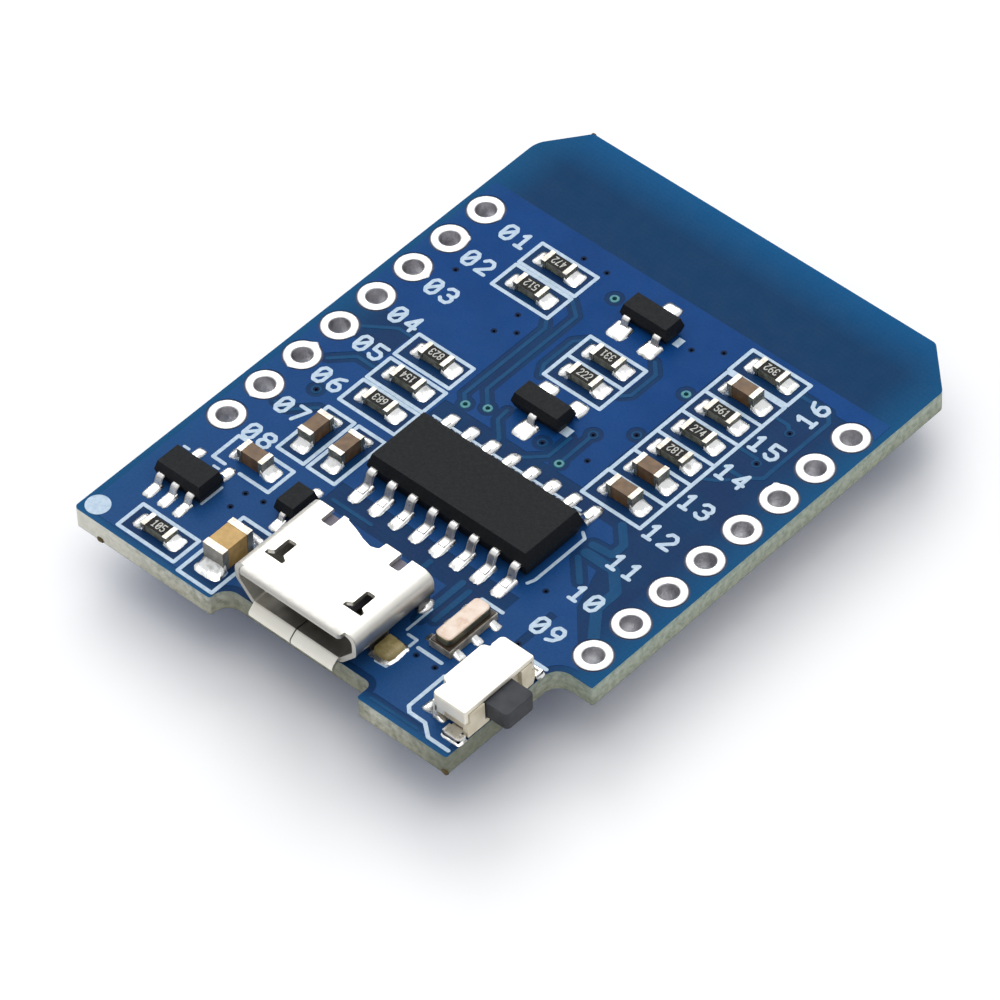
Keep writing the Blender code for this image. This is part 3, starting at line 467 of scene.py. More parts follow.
def make_piece(name, bm, looks, slot, body=BOARD, smooth=35.0):
    """Turn a bmesh drawn in millimetres into a piece in metres that rides on a body."""
    bmesh.ops.recalc_face_normals(bm, faces=bm.faces)
    bmesh.ops.scale(bm, vec=(MM, MM, MM), verts=bm.verts)
    piece = to_object(name, bm)
    for item in looks if isinstance(looks, list) else [looks]:
        piece.data.materials.append(look(item))
    piece.data.shade_smooth()
    piece.data.set_sharp_from_angle(angle=math.radians(smooth))
    even = piece.modifiers.new("even_shading", "WEIGHTED_NORMAL")
    even.keep_sharp = True
    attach(piece, body)
    return piece


def stand_in(node, bm, looks, slot, body=BOARD, suffix="shape"):
    """A piece that is shown in place of a node."""
    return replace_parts(make_piece(f"{node}_{suffix}", bm, looks, slot, body), node)


def make_solder(name, bm, looks="solder"):
    make_piece(name, bm, looks, "contact_gold", smooth=60.0)


def soften(bm, width, segments=2, limit=30.0):
    """Round over every edge that turns by more than limit degrees."""
    sharp = [edge for edge in bm.edges
             if len(edge.link_faces) == 2 and edge.calc_face_angle(0.0) > math.radians(limit)]
    bmesh.ops.bevel(bm, geom=sharp, offset=width, segments=segments, profile=0.5,
                    affect="EDGES", clamp_overlap=True)


def refined(node, width, segments=2):
    """A node's own shape in millimetres, with flat facets merged and sharp edges rounded over."""
    bm = bmesh.new()
    bm.from_mesh(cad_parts[node].data)
    bmesh.ops.scale(bm, vec=(1 / MM, 1 / MM, 1 / MM), verts=bm.verts)
    bmesh.ops.remove_doubles(bm, verts=bm.verts, dist=0.0005)
    bmesh.ops.dissolve_limit(bm, angle_limit=math.radians(0.8), use_dissolve_boundaries=False,
                             verts=bm.verts, edges=bm.edges)
    soften(bm, width, segments)
    return bm


def finish_node(node, looks, width, slot, body=BOARD, segments=2):
    """Stand a refined copy in for a node."""
    return stand_in(node, refined(node, width, segments), looks, slot, body)


def add_rings(bm, rings, closed=False):
    """Skin a list of closed rings of points, capped at both ends unless the list is a loop."""
    loops = [[bm.verts.new(point) for point in ring] for ring in rings]
    count = len(loops[0])
    spans = list(zip(loops, loops[1:]))
    if closed:
        spans.append((loops[-1], loops[0]))
    for lower, upper in spans:
        for index in range(count):
            after = (index + 1) % count
            bm.faces.new((lower[index], lower[after], upper[after], upper[index]))
    if not closed:
        bm.faces.new(loops[0][::-1])
        bm.faces.new(loops[-1])


def add_prism(bm, outline, low, high):
    """An outline pushed up from low to high."""
    add_rings(bm, [[(x, y, z) for x, y in outline] for z in (low, high)])


def add_box(bm, low, high):
    add_prism(bm, rectangle(low[0], high[0], low[1], high[1]), low[2], high[2])


def soft_box(low, high, width, segments=2):
    """A box with its edges rounded over by width."""
    bm = bmesh.new()
    add_box(bm, low, high)
    soften(bm, width, segments)
    return bm


def join_mesh(bm, other, material=0):
    """Add another bmesh to bm, giving its faces one material, and free it."""
    for face in other.faces:
        face.material_index = material
    scratch = bpy.data.meshes.new("scratch")
    other.to_mesh(scratch)
    other.free()
    bm.from_mesh(scratch)
    bpy.data.meshes.remove(scratch)


def add_soft_box(bm, low, high, width, segments=2, material=0):
    join_mesh(bm, soft_box(low, high, width, segments), material)


def carved(bm, cutter):
    """bm with cutter taken away from it."""
    things = []
    for part in (bm, cutter):
        bmesh.ops.recalc_face_normals(part, faces=part.faces)
        things.append(to_object("scratch", part))
    cut = things[0].modifiers.new("cut", "BOOLEAN")
    cut.operation = "DIFFERENCE"
    cut.solver = "EXACT"
    cut.object = things[1]
    result = bmesh.new()
    result.from_object(things[0], bpy.context.evaluated_depsgraph_get())
    for thing in things:
        mesh = thing.data
        bpy.data.objects.remove(thing)
        bpy.data.meshes.remove(mesh)
    return result


def rounded_outline(corners, steps):
    """A closed outline through (u, v, radius) corners, with an arc wherever radius isn't 0."""
    outline = []
    for index, (u, v, radius) in enumerate(corners):
        if radius == 0:
            outline.append((u, v))
            continue
        corner = Vector((u, v))
        back = (Vector(corners[index - 1][:2]) - corner).normalized()
        ahead = (Vector(corners[(index + 1) % len(corners)][:2]) - corner).normalized()
        half = back.angle(ahead) / 2
        reach = radius / math.tan(half)
        centre = corner + (back + ahead).normalized() * radius / math.sin(half)
        start = corner + back * reach - centre
        end = corner + ahead * reach - centre
        sweep = start.angle_signed(end)
        for step in range(steps + 1):
            arm = Matrix.Rotation(-sweep * step / steps, 2) @ start
            outline.append(tuple(centre + arm))
    return outline


def circle(centre, radius, steps):
    return [(centre[0] + radius * math.cos(2 * math.pi * step / steps),
             centre[1] + radius * math.sin(2 * math.pi * step / steps)) for step in range(steps)]


def circles(places, radius, steps):
    return [circle(place, radius, steps) for place in places]


def rectangle(x0, x1, y0, y1):
    """The corners of a rectangle, anticlockwise."""
    return [(x0, y0), (x1, y0), (x1, y1), (x0, y1)]


def stroke(points, width, closed=False, steps=5):
    """A pen line as one round-ended outline for each of its straight stretches."""
    path = list(points) + ([points[0]] if closed else [])
    outlines = []
    for (x0, y0), (x1, y1) in zip(path, path[1:]):
        heading = math.atan2(y1 - y0, x1 - x0)
        outline = []
        for x, y, start in ((x1, y1, heading - math.pi / 2), (x0, y0, heading + math.pi / 2)):
            for step in range(steps + 1):
                turn = start + math.pi * step / steps
                outline.append((x + width / 2 * math.cos(turn), y + width / 2 * math.sin(turn)))
        outlines.append(outline)
    return outlines


def add_plate(bm, outlines, low, high, holes=(), material=0):
    """A flat plate: the union of outlines, less every hole."""
    points = []
    faces = []
    for outline in [*outlines, *holes]:
        area = sum(a[0] * b[1] - b[0] * a[1] for a, b in zip(outline, outline[1:] + outline[:1]))
        ordered = outline if area > 0 else outline[::-1]
        faces.append(list(range(len(points), len(points) + len(ordered))))
        points.extend(Vector(point) for point in ordered)
    corners, _, triangles, _, _, sources = delaunay_2d_cdt(points, [], faces, 1, 1e-5)
    kept = [triangle for triangle, source in zip(triangles, sources)
            if source and max(source) < len(outlines)]
    used = {index for triangle in kept for index in triangle}
    upper = {index: bm.verts.new((*corners[index], high)) for index in used}
    lower = {index: bm.verts.new((*corners[index], low)) for index in used}
    rims = set()
    for triangle in kept:
        bm.faces.new([upper[index] for index in triangle]).material_index = material
        bm.faces.new([lower[index] for index in reversed(triangle)]).material_index = material
        rims.update(zip(triangle, (*triangle[1:], triangle[0])))
    for start, end in rims:
        if (end, start) not in rims:
            wall = bm.faces.new((lower[start], lower[end], upper[end], upper[start]))
            wall.material_index = material


def plate_piece(name, look_name, outlines, heights, holes=(), slot="board_blue"):
    """A piece that is one flat plate between two heights."""
    bm = bmesh.new()
    add_plate(bm, outlines, min(heights), max(heights), holes)
    make_piece(name, bm, look_name, slot)


# ---------------------------------------------------------------- lettering: digits only

DIGITS = {
    "0": [[(0, 0.2), (0, 0.8), (0.25, 1), (0.75, 1), (1, 0.8), (1, 0.2), (0.75, 0), (0.25, 0),
           (0, 0.2)], [(0.15, 0.25), (0.85, 0.75)]],
    "1": [[(0.15, 0.8), (0.5, 1), (0.5, 0)], [(0.15, 0), (0.85, 0)]],
    "2": [[(0, 0.8), (0.25, 1), (0.75, 1), (1, 0.8), (1, 0.6), (0, 0), (1, 0)]],
    "3": [[(0, 0.85), (0.25, 1), (0.75, 1), (1, 0.8), (1, 0.65), (0.75, 0.52), (1, 0.38), (1, 0.2),
           (0.75, 0), (0.25, 0), (0, 0.15)], [(0.4, 0.52), (0.75, 0.52)]],
    "4": [[(0.75, 0), (0.75, 1), (0, 0.3), (1, 0.3)]],
    "5": [[(1, 1), (0, 1), (0, 0.56), (0.75, 0.56), (1, 0.4), (1, 0.2), (0.75, 0), (0.25, 0),
           (0, 0.15)]],
    "6": [[(0.85, 1), (0.3, 0.85), (0, 0.5), (0, 0.2), (0.25, 0), (0.75, 0), (1, 0.2), (1, 0.36),
           (0.75, 0.54), (0.05, 0.5)]],
    "7": [[(0, 1), (1, 1), (0.35, 0)]],
    "8": [[(0.25, 0.53), (0, 0.7), (0, 0.83), (0.25, 1), (0.75, 1), (1, 0.83), (1, 0.7),
           (0.75, 0.53), (0.25, 0.53), (0, 0.35), (0, 0.18), (0.25, 0), (0.75, 0), (1, 0.18),
           (1, 0.35), (0.75, 0.53)]],
    "9": [[(0.15, 0), (0.7, 0.15), (1, 0.5), (1, 0.8), (0.75, 1), (0.25, 1), (0, 0.8), (0, 0.64),
           (0.25, 0.46), (0.95, 0.5)]],
}


def number_strokes(text, centre, sizes, turn):
    """Outlines of a printed number centred on a point and turned by some degrees."""
    height, width, pitch, pen = sizes
    place = Matrix.Rotation(math.radians(turn), 2)
    outlines = []
    start = -(pitch * (len(text) - 1) + width) / 2
    for index, digit in enumerate(text):
        for line in DIGITS[digit]:
            points = []
            for u, v in line:
                point = place @ Vector((start + index * pitch + u * width, (v - 0.5) * height))
                points.append((centre[0] + point.x, centre[1] + point.y))
            outlines.extend(stroke(points, pen, steps=4))
    return outlines


# ---------------------------------------------------------------- the board's plan

def board_loops():
    """The board's outline and the centres of its pin holes, read from the frame."""
    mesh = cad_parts["circuit_board"].data
    rims = set()
    for face in mesh.polygons:
        corners = [mesh.vertices[index].co / MM for index in face.vertices]
        if all(abs(corner.z - TOP) < 0.001 for corner in corners):
            keys = [(round(corner.x, 3), round(corner.y, 3)) for corner in corners]
            rims.update(zip(keys, keys[1:] + keys[:1]))
    follow = {start: end for start, end in rims if (end, start) not in rims}
    loops = []
    while follow:
        start, point = follow.popitem()
        loop = [start]
        while point != start:
            loop.append(point)
            point = follow.pop(point)
        loops.append(loop)
    loops.sort(key=len)
    outline = max(loops, key=lambda loop: max(x for x, _ in loop) - min(x for x, _ in loop))
    centres = [(sum(x for x, _ in loop) / len(loop), sum(y for _, y in loop) / len(loop))
               for loop in loops if loop is not outline]
    return outline, sorted(centres)


OUTLINE, PIN_CENTRES = board_loops()
PINS_IN_ROW = len(PIN_CENTRES) // 2
TOWARDS_TOP = 1
TOWARDS_FLOOR = -1

# Vias with a bare ring, with a ring under the mask, and small ones that the mask hides
OPEN_VIAS = [(-2.83, 9.27), (-2.53, 0.12), (-3.5, -0.37), (2.33, -0.33), (3.83, 6.8)]
RINGED_VIAS = [(0.85, 0.15), (2.3, 2.05), (3.83, 3.35), (9.1, 8.05), (9.2, 5.6), (-9.4, -4.2)]
TENTED_VIAS = [
    (-5.7, 10.3), (-4.25, 10.3), (2.12, 9.1), (3.4, 9.95), (-5.55, 5.5), (-4.8, 4.6), (-5.7, 4.0),
    (-9.8, 5.8), (3.2, 0.65), (-7.3, -11.15), (-6.3, -11.0), (-7.25, -12.2), (6.55, -13.3),
    (5.4, -13.3), (7.2, -6.6), (8.4, -9.8),
]
ALL_VIAS = OPEN_VIAS + RINGED_VIAS + TENTED_VIAS

# Tracks as (width, points)
TRACKS = [
    (0.20, [(-4.3, 7.9), (-3.4, 7.2), (-3.4, 1.0), (-2.53, 0.12)]),
    (0.20, [(-4.3, 6.1), (-4.0, 5.7), (-4.0, 0.1), (-3.5, -0.37)]),
    (0.20, [(-1.75, 0.6), (-1.7, -0.1), (-0.85, -0.95), (-0.7, -1.3)]),
    (0.20, [(1.65, 1.2), (1.65, -0.3), (1.0, -0.95), (0.6, -1.3)]),
    (0.20, [(2.3, 2.05), (2.33, -0.33)]),
    (0.20, [(-1.9, 6.5), (-2.45, 5.9), (-2.45, 3.9), (-2.1, 3.3)]),
    (0.20, [(1.35, 7.4), (1.95, 6.8), (1.95, 5.1), (1.6, 4.7)]),
    (0.22, [(7.9, 10.2), (9.6, 10.2), (10.05, 9.7), (10.05, 5.1), (9.3, 4.5), (8.2, 4.5)]),
    (0.20, [(8.0, 8.4), (8.7, 8.4), (9.1, 8.05)]),
    (0.20, [(7.9, 5.85), (9.0, 5.85), (9.2, 5.6)]),
    (0.20, [(8.0, 3.3), (8.5, 3.6), (8.9, 4.0)]),
    (0.42, [(7.1, -1.3), (8.0, -2.2), (8.0, -3.0), (6.9, -3.1)]),
    (0.55, [(7.0, -3.65), (8.7, -3.65), (9.65, -4.6), (9.65, -5.9), (11.2, -7.9)]),
    (0.30, [(6.9, -4.1), (8.0, -5.2)]),
    (0.20, [(-10.6, 0.2), (-9.2, 1.2), (-8.3, 1.2)]),
    (0.20, [(-10.4, -2.4), (-9.4, -1.4), (-8.3, -1.4)]),
    (0.20, [(-10.3, -6.0), (-9.5, -6.0), (-8.5, -5.0)]),
    (0.16, [(5.6, -16.5), (8.4, -16.5)]),
    (0.20, [(-4.0, -8.8), (-1.6, -8.8)]),
    (0.30, [(2.0, -8.7), (2.0, -9.6)]),
    (0.35, [(4.0, -8.7), (4.0, -11.6)]),
    (0.30, [(4.6, -8.9), (4.6, -11.2)]),
]

# Ground without copper, as closed outlines
ANTENNA_KEEP_OUT = rectangle(-14.0, 14.0, 11.4, 18.0)
BARE_AREAS = [
    [(4.15, 10.3), (13.0, 10.3), (13.0, -9.3), (11.6, -9.3), (8.9, -6.4), (8.1, -4.2), (8.1, -1.7),
     (4.15, -1.7)],
    rectangle(-4.4, 6.6, -9.3, -7.7),
    rectangle(-4.4, 6.0, -2.0, -0.75),
    [(-12.9, -0.6), (-12.9, 1.7), (-8.4, 1.7), (-8.4, -0.6)],
    rectangle(8.2, 8.65, -9.9, -7.4),
]

PEN = 0.2

# Printed boxes round the parts, as (x0, x1, y0, y1) of the pen's path
PRINTED_BOXES = [
    (-7.87, -4.35, 8.13, 9.78), (-7.87, -4.35, 6.22, 7.92), (-2.04, 1.45, 3.44, 6.69),
    (-8.20, -4.73, -0.15, 1.55), (-8.16, -4.64, -2.08, -0.45), (-8.16, -4.64, -3.97, -2.30),
    (-8.20, -6.54, -8.08, -4.64), (-6.27, -4.59, -8.08, -4.64), (-10.38, -6.82, -16.39, -14.70),
    (4.30, 7.86, 9.30, 10.98), (4.34, 7.86, 7.53, 9.13), (4.34, 7.86, 5.90, 7.53),
    (4.34, 7.86, 4.20, 5.90), (4.34, 7.86, 2.59, 4.20), (4.34, 7.86, 0.89, 2.59),
    (4.30, 7.86, -0.95, 0.89), (-6.32, -4.18, -16.62, -12.30),
]

# Other printed lines, as (width, points)
PRINTED_LINES = [
    (PEN, [(-2.04, 5.09), (1.45, 5.09)]),
    (PEN, [(-9.3, -10.44), (-10.05, -10.44), (-10.05, -8.72), (-6.54, -8.72), (-6.54, -10.44),
           (-8.35, -10.44)]),
    (0.14, [(-4.1, -1.88), (5.05, -1.88)]),
    (0.17, [(6.05, -2.82), (6.38, -3.06), (6.38, -6.43), (6.24, -6.8)]),
    (0.15, [(-11.5, -10.85), (-11.2, -10.85)]),
    (0.15, [(-9.6, -10.85), (-9.3, -10.85)]),
    (0.14, [(-8.36, -11.6), (-8.36, -12.95)]),
    (0.13, [(4.05, -10.8), (4.05, -12.45)]),
    (0.16, [(4.3, -12.62), (4.82, -12.62), (4.82, -13.1)]),
    (0.14, [(4.85, -14.4), (4.85, -14.7), (4.25, -14.75)]),
    (PEN, [(5.35, -8.87), (6.62, -8.87)]),
    (PEN, [(5.18, -12.92), (6.6, -12.92)]),
    (PEN, [(9.6, -10.12), (10.42, -10.12)]),
    (PEN, [(7.23, -13.4), (7.23, -15.74), (7.5, -16.0), (8.45, -16.0), (9.14, -16.54),
           (10.36, -16.54)]),
]
PRINTED_TICKS = [(1.18, 1.55, 8.78, 9.35), (1.02, 1.5, 1.12, 1.66)]
CORNER_DOT = ((-11.93, -16.1), 0.62)

# Centres of the pin numbers, and the number that lies on its side, with its turn in degrees
PIN_NUMBERS = {
    "01": (-9.08, 9.28), "02": (-9.3, 6.83), "03": (-9.32, 4.3), "04": (-9.34, 1.84),
    "05": (-9.32, -0.6), "06": (-9.36, -3.35), "07": (-9.36, -5.9), "08": (-9.32, -8.12),
    "16": (9.15, 9.62), "15": (8.9, 6.62), "14": (8.92, 4.28), "13": (8.93, 1.75),
    "12": (8.93, -0.72), "11": (8.93, -3.18), "10": (8.9, -5.75), "09": (8.88, -8.32),
}
TURNED_NUMBERS = {"16": 90}

# Number sizes as (height, width, pitch, pen)
PIN_NUMBER_SIZE = (0.92, 0.56, 0.95, 0.2)
CODE_SIZE = (0.40, 0.17, 0.265, 0.055)


def make_laminate():
    """Bare laminate: sawn edges, and flat faces that show dark through the mask's openings."""
    pins = circles(PIN_CENTRES, HOLE_RADIUS + 0.03, 32)
    bm = bmesh.new()
    add_plate(bm, [OUTLINE], UNDER + MASK, TOP - MASK, pins + circles(ALL_VIAS, VIA_HOLE, 12))
    for face in bm.faces:
        heights = {round(vert.co.z, 3) for vert in face.verts}
        face.material_index = 1 if len(heights) == 1 else 0
    board = make_piece("board_laminate", bm, ["laminate", "substrate"], "board_blue")
    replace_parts(board, "circuit_board")


def make_mask(side, name, tracks, bare):
    """Solder mask on one face: the laminate's level, then copper pour and tracks a step higher."""
    face = TOP if side == TOWARDS_TOP else UNDER
    sheet = face - side * MASK
    level = face - side * COPPER_STEP
    holes = circles(PIN_CENTRES, MASK_OPENING, 32) + circles(ALL_VIAS, VIA_HOLE, 12)
    gaps = stroke(OUTLINE, 2 * EDGE_PULLBACK, closed=True)
    for width, points in tracks:
        gaps.extend(stroke(points, width + 2 * TRACK_CLEARANCE))
    gaps.extend(bare)
    gaps.extend(circles(OPEN_VIAS + RINGED_VIAS, VIA_CLEARANCE, 20))
    gaps.append(ANTENNA_KEEP_OUT)
    lines = [outline for width, points in tracks for outline in stroke(points, width)]
    lines.extend(circles(RINGED_VIAS, VIA_RING, 16))
    plate_piece(f"{name}_mask", "mask_over_laminate", [OUTLINE], (sheet, level), holes)
    plate_piece(f"{name}_pour", "mask_over_copper", [OUTLINE], (level, face), holes + gaps)
    plate_piece(f"{name}_tracks", "mask_over_track", lines, (level, face), holes)


def make_vias():
    """Thin copper barrels, with a raised ring on both faces where the mask leaves it bare."""
    inner = VIA_HOLE - 0.04
    barrel = [(inner, UNDER - 0.01), (VIA_RING, UNDER - 0.01), (VIA_RING, UNDER + 0.02),
              (VIA_HOLE, UNDER + 0.04), (VIA_HOLE, TOP - 0.04), (VIA_RING, TOP - 0.02),
              (VIA_RING - 0.03, TOP + 0.012), (inner, TOP + 0.012)]
    cover = [(VIA_HOLE - 0.08, UNDER + 0.005), (VIA_HOLE + 0.01, UNDER + 0.005),
             (VIA_HOLE + 0.01, TOP + 0.002), (VIA_HOLE - 0.08, TOP - 0.02)]
    for name, places, profile, steps, item in (
            ("vias", OPEN_VIAS, barrel, 20, "via_copper"),
            ("covered_vias", RINGED_VIAS + TENTED_VIAS, cover, 12, "via_cover")):
        bm = bmesh.new()
        for place in places:
            add_turned(bm, place, profile, steps)
        make_piece(name, bm, item, "board_blue")


def add_turned(bm, centre, profile, steps, bumps=()):
    """Turn a closed (radius, z) profile into a ring. bumps are (angle, size) swellings of its rim."""
    rings = []
    widest = max(radius for radius, _ in profile)
    for step in range(steps):
        turn = 2 * math.pi * step / steps
        swell = 0.0
        for angle, size in bumps:
            apart = (turn - math.radians(angle) + math.pi) % (2 * math.pi) - math.pi
            swell += size * math.exp(-(apart / BUMP_SPREAD) ** 2)
        ring = []
        for radius, z in profile:
            share = max(0.0, (radius - HOLE_RADIUS) / max(widest - HOLE_RADIUS, 0.01))
            reach = radius + swell * share
            ring.append((centre[0] + reach * math.cos(turn), centre[1] + reach * math.sin(turn), z))
        rings.append(ring)
    add_rings(bm, rings, closed=True)


# Swellings of the plated rings, as (angle in degrees, size), by (side, place in its row), and the
# angle in radians over which one fades
BUMP_SPREAD = 0.16
RING_BUMPS = {
    (-1, 1): [(270, 0.07)], (-1, 2): [(90, 0.16), (270, 0.08)], (-1, 3): [(40, 0.12)],
    (-1, 4): [(0, 0.06)], (-1, 6): [(0, 0.10)], (-1, 7): [(0, 0.06)], (1, 0): [(140, 0.15)],
}


def make_plated_holes():
    """Tinned rings on both faces with a barrel between them."""
    bm = bmesh.new()
    crown = 0.045
    for index, place in enumerate(PIN_CENTRES):
        key = (-1 if place[0] < 0 else 1, index % PINS_IN_ROW)
        profile = []
        for side, face in ((TOWARDS_FLOOR, UNDER), (TOWARDS_TOP, TOP)):
            rim = [(HOLE_RADIUS + 0.03, face), (RING_RADIUS, face),
                   (RING_RADIUS - 0.01, face + side * 0.02), (RING_RADIUS - 0.07, face + side * crown),
                   (HOLE_RADIUS + 0.09, face + side * crown), (HOLE_RADIUS + 0.02, face + side * 0.02),
                   (HOLE_RADIUS, face - side * 0.03)]
            profile.extend(rim if side == TOWARDS_FLOOR else rim[::-1])
        add_turned(bm, place, profile, 40, RING_BUMPS.get(key, ()))
    for face in bm.faces:
        middle = face.calc_center_median()
        away = min(math.hypot(middle.x - x, middle.y - y) for x, y in PIN_CENTRES)
        if away < HOLE_RADIUS + 0.012:
            face.material_index = 1
    make_piece("plated_holes", bm, ["ring_tin", "barrel_tin"], "contact_gold", smooth=50.0)


def make_print():
    """White ink on the component side: boxes, brackets, a corner dot and pin numbers."""
    outlines = [circle(*CORNER_DOT, 32)]
    for box in PRINTED_BOXES:
        outlines.extend(stroke(rectangle(*box), PEN, closed=True))
    for width, points in PRINTED_LINES:
        outlines.extend(stroke(points, width))
    outlines.extend(rectangle(*tick) for tick in PRINTED_TICKS)
    for text, centre in PIN_NUMBERS.items():
        outlines.extend(number_strokes(text, centre, PIN_NUMBER_SIZE, TURNED_NUMBERS.get(text, 0)))
    plate_piece("top_print", "ink", outlines, (TOP - COPPER_STEP, TOP + INK))


def make_edge_nibs():
    """Small ragged stubs where the board was broken out of its panel."""
    bm = bmesh.new()
    low, high = box_mm("circuit_board")
    nibs = [((-11.05, low.y, UNDER + 0.12), (0.20, 0.13, 0.14)),
            ((-11.02, high.y, TOP - 0.2), (0.16, 0.14, 0.2)),
            ((10.45, low.y, UNDER + 0.15), (0.22, 0.10, 0.16))]
    for centre, size in nibs:
        stub = bmesh.new()
        bmesh.ops.create_icosphere(stub, subdivisions=2, radius=1.0)
        for vert in stub.verts:
            rough = 1 + 0.35 * noise.noise(vert.co * 2.3 + Vector(centre))
            vert.co = Vector(centre) + Vector([c * s * rough for c, s in zip(vert.co, size)])
        join_mesh(bm, stub)
    make_piece("panel_stubs", bm, "scorch", "board_blue")


# ---------------------------------------------------------------- solder

BEAD_LEVELS = 7
MOUND_ROWS = 9
MOUND_COLUMNS = 10


def add_bead(bm, centre, radii, height):
    """A smooth oval dome of solder on the component side."""
    rings = []
    for level in range(BEAD_LEVELS):
        rise = math.pi / 2 * level / (BEAD_LEVELS - 0.5)
        oval = circle((0.0, 0.0), math.cos(rise), 24)
        rings.append([(centre[0] + radii[0] * x, centre[1] + radii[1] * y,
                       TOP - 0.01 + height * math.sin(rise)) for x, y in oval])
    add_rings(bm, rings)


def add_mound(bm, start, heading, reach, half_width, rise, foot=0.035, side=TOWARDS_TOP,
              seed=0.0, power=1.7, material=0):
    """A solder fillet: high at start, sloping down along heading to a thin rounded edge.

    start is (x, y), heading is a unit (x, y) and side says which way is away from the board.
    """
    level = TOP if side == TOWARDS_TOP else UNDER
    rows, columns = MOUND_ROWS, MOUND_COLUMNS
    across = (-heading[1], heading[0])
    grid = []
    for row in range(rows + 1):
        u = row / rows
        line = []
        for column in range(columns + 1):
            v = 2 * column / columns - 1
            squeeze = 1 - 0.16 * u ** 6 * v ** 2
            wobble = 1 + 0.05 * noise.noise(Vector((u * 3, v * 3, seed)))
            along = reach * (u - 0.07 * u ** 4 * v ** 4) * wobble
            out = half_width * v * squeeze * wobble
            slope = (1 - u) ** power * (1 - 0.45 * abs(v) ** 3)
            ripple = 1 + 0.30 * noise.noise(Vector((u * 2.2 + 9, v * 1.6, seed)))
            height = foot + rise * slope * ripple + 0.03 * (1 - v ** 4) * (1 - u ** 6)
            if abs(v) > 0.999 or u > 0.999:
                height = foot * 0.4
            x = start[0] + heading[0] * along + across[0] * out
            y = start[1] + heading[1] * along + across[1] * out
            line.append((x, y, level + side * height))
        grid.append(line)
    upper = [[bm.verts.new(point) for point in line] for line in grid]
    lower = [[bm.verts.new((x, y, level - side * 0.012)) for x, y, _ in line] for line in grid]
    for row in range(rows):
        for column in range(columns):
            for sheet in (upper, lower):
                face = bm.faces.new((sheet[row][column], sheet[row][column + 1],
                                     sheet[row + 1][column + 1], sheet[row + 1][column]))
                face.material_index = material
    border = ([(0, c) for c in range(columns)] + [(r, columns) for r in range(rows)]
              + [(rows, c) for c in range(columns, 0, -1)] + [(r, 0) for r in range(rows, 0, -1)])
    for (r0, c0), (r1, c1) in zip(border, border[1:] + border[:1]):
        face = bm.faces.new((upper[r0][c0], upper[r1][c1], lower[r1][c1], lower[r0][c0]))
        face.material_index = material


# ---------------------------------------------------------------- chip resistors and capacitors

# Each resistor's printed value and its turn in degrees
RESISTOR_CODES = [("472", 180), ("512", 180), ("331", 180), ("222", 0), ("823", 180), ("154", 180),
                  ("683", 180), ("392", 180), ("561", 0), ("274", 0), ("182", 180), ("105", 0)]

# Lengths of the metal caps, and how far the ceramic core keeps inside them
RESISTOR_CAP = 0.25
CAPACITOR_CAP = 0.28
BULK_CAP = 0.38
CORE_INSET = Vector((0.03, 0.03, 0.0))

# How far solder reaches under a chip part's end or a lead's foot
PAD_OVERLAP = 0.12


def chip_box(node):
    """Low corner, high corner, centre and the unit direction that runs from end to end."""
    low, high = box_mm(node)
    size = high - low
    along = Vector((1.0, 0.0)) if size.x > size.y else Vector((0.0, 1.0))
    return low, high, (low + high) / 2, along


def add_end_caps(bm, node, length, grow, material, rounding=0.06):
    """Rounded metal caps over both ends of a chip part, with painted shade on their upright faces."""
    low, high, _, along = chip_box(node)
    for end in (-1, 1):
        near = Vector(low) - Vector((grow, grow, 0.0))
        far = Vector(high) + Vector((grow, grow, grow))
        axis = 0 if along.x else 1
        if end < 0:
            far[axis] = low[axis] + length
        else:
            near[axis] = high[axis] - length
        cap = soft_box(near, far, rounding, 3)
        cap.normal_update()
        # Upright faces take the next look, a darker copy of the tin: painted shade.
        upright = [face.index for face in cap.faces if face.normal.z < 0.35]
        first = len(bm.faces)
        join_mesh(bm, cap, material)
        bm.faces.ensure_lookup_table()
        for index in upright:
            bm.faces[first + index].material_index = material + 1


def add_chip_solder(bm, node, reach, half_width, rise, seed):
    """A fillet out from each end of a chip part."""
    low, high, centre, along = chip_box(node)
    half = (high - low).to_2d().dot(along) / 2
    for end in (-1, 1):
        start = centre.to_2d() + along * end * (half - PAD_OVERLAP)
        add_mound(bm, start, along * end, reach + PAD_OVERLAP, half_width, rise,
                  seed=seed + end * 0.5, power=2.6)


def make_resistor(number, node):
    """A white slab with a dark coat on top, metal caps and a three-digit value."""
    low, high, centre, _ = chip_box(node)
    bm = soft_box(low + CORE_INSET, high - CORE_INSET - Vector((0, 0, 0.03)), 0.02)
    coat_low = (low.x + 0.24, low.y + 0.045, high.z - 0.05)
    coat_high = (high.x - 0.24, high.y - 0.045, high.z - 0.008)
    add_soft_box(bm, coat_low, coat_high, 0.012, material=1)
    add_end_caps(bm, node, RESISTOR_CAP, 0.008, 2)
    code, turn = RESISTOR_CODES[number]
    digits = number_strokes(code, centre.to_2d(), CODE_SIZE, turn)
    add_plate(bm, digits, high.z - 0.02, high.z - 0.001, material=4)
    looks = ["alumina", "resistor_coat", "cap_tin", "cap_end", "code_ink"]
    stand_in(node, bm, looks, "resistor_ceramic", suffix="chip")


def make_capacitor(node, body_look, side_shade_look, slot, cap_length):
    """A rounded ceramic block with metal caps."""
    low, high = box_mm(node)
    bm = soft_box(low + CORE_INSET, high - CORE_INSET - Vector((0, 0, 0.02)), 0.07, 3)
    add_end_caps(bm, node, cap_length, 0.0, 1, 0.10)
    stand_in(node, bm, [body_look, "cap_tin", side_shade_look], slot, suffix="chip")


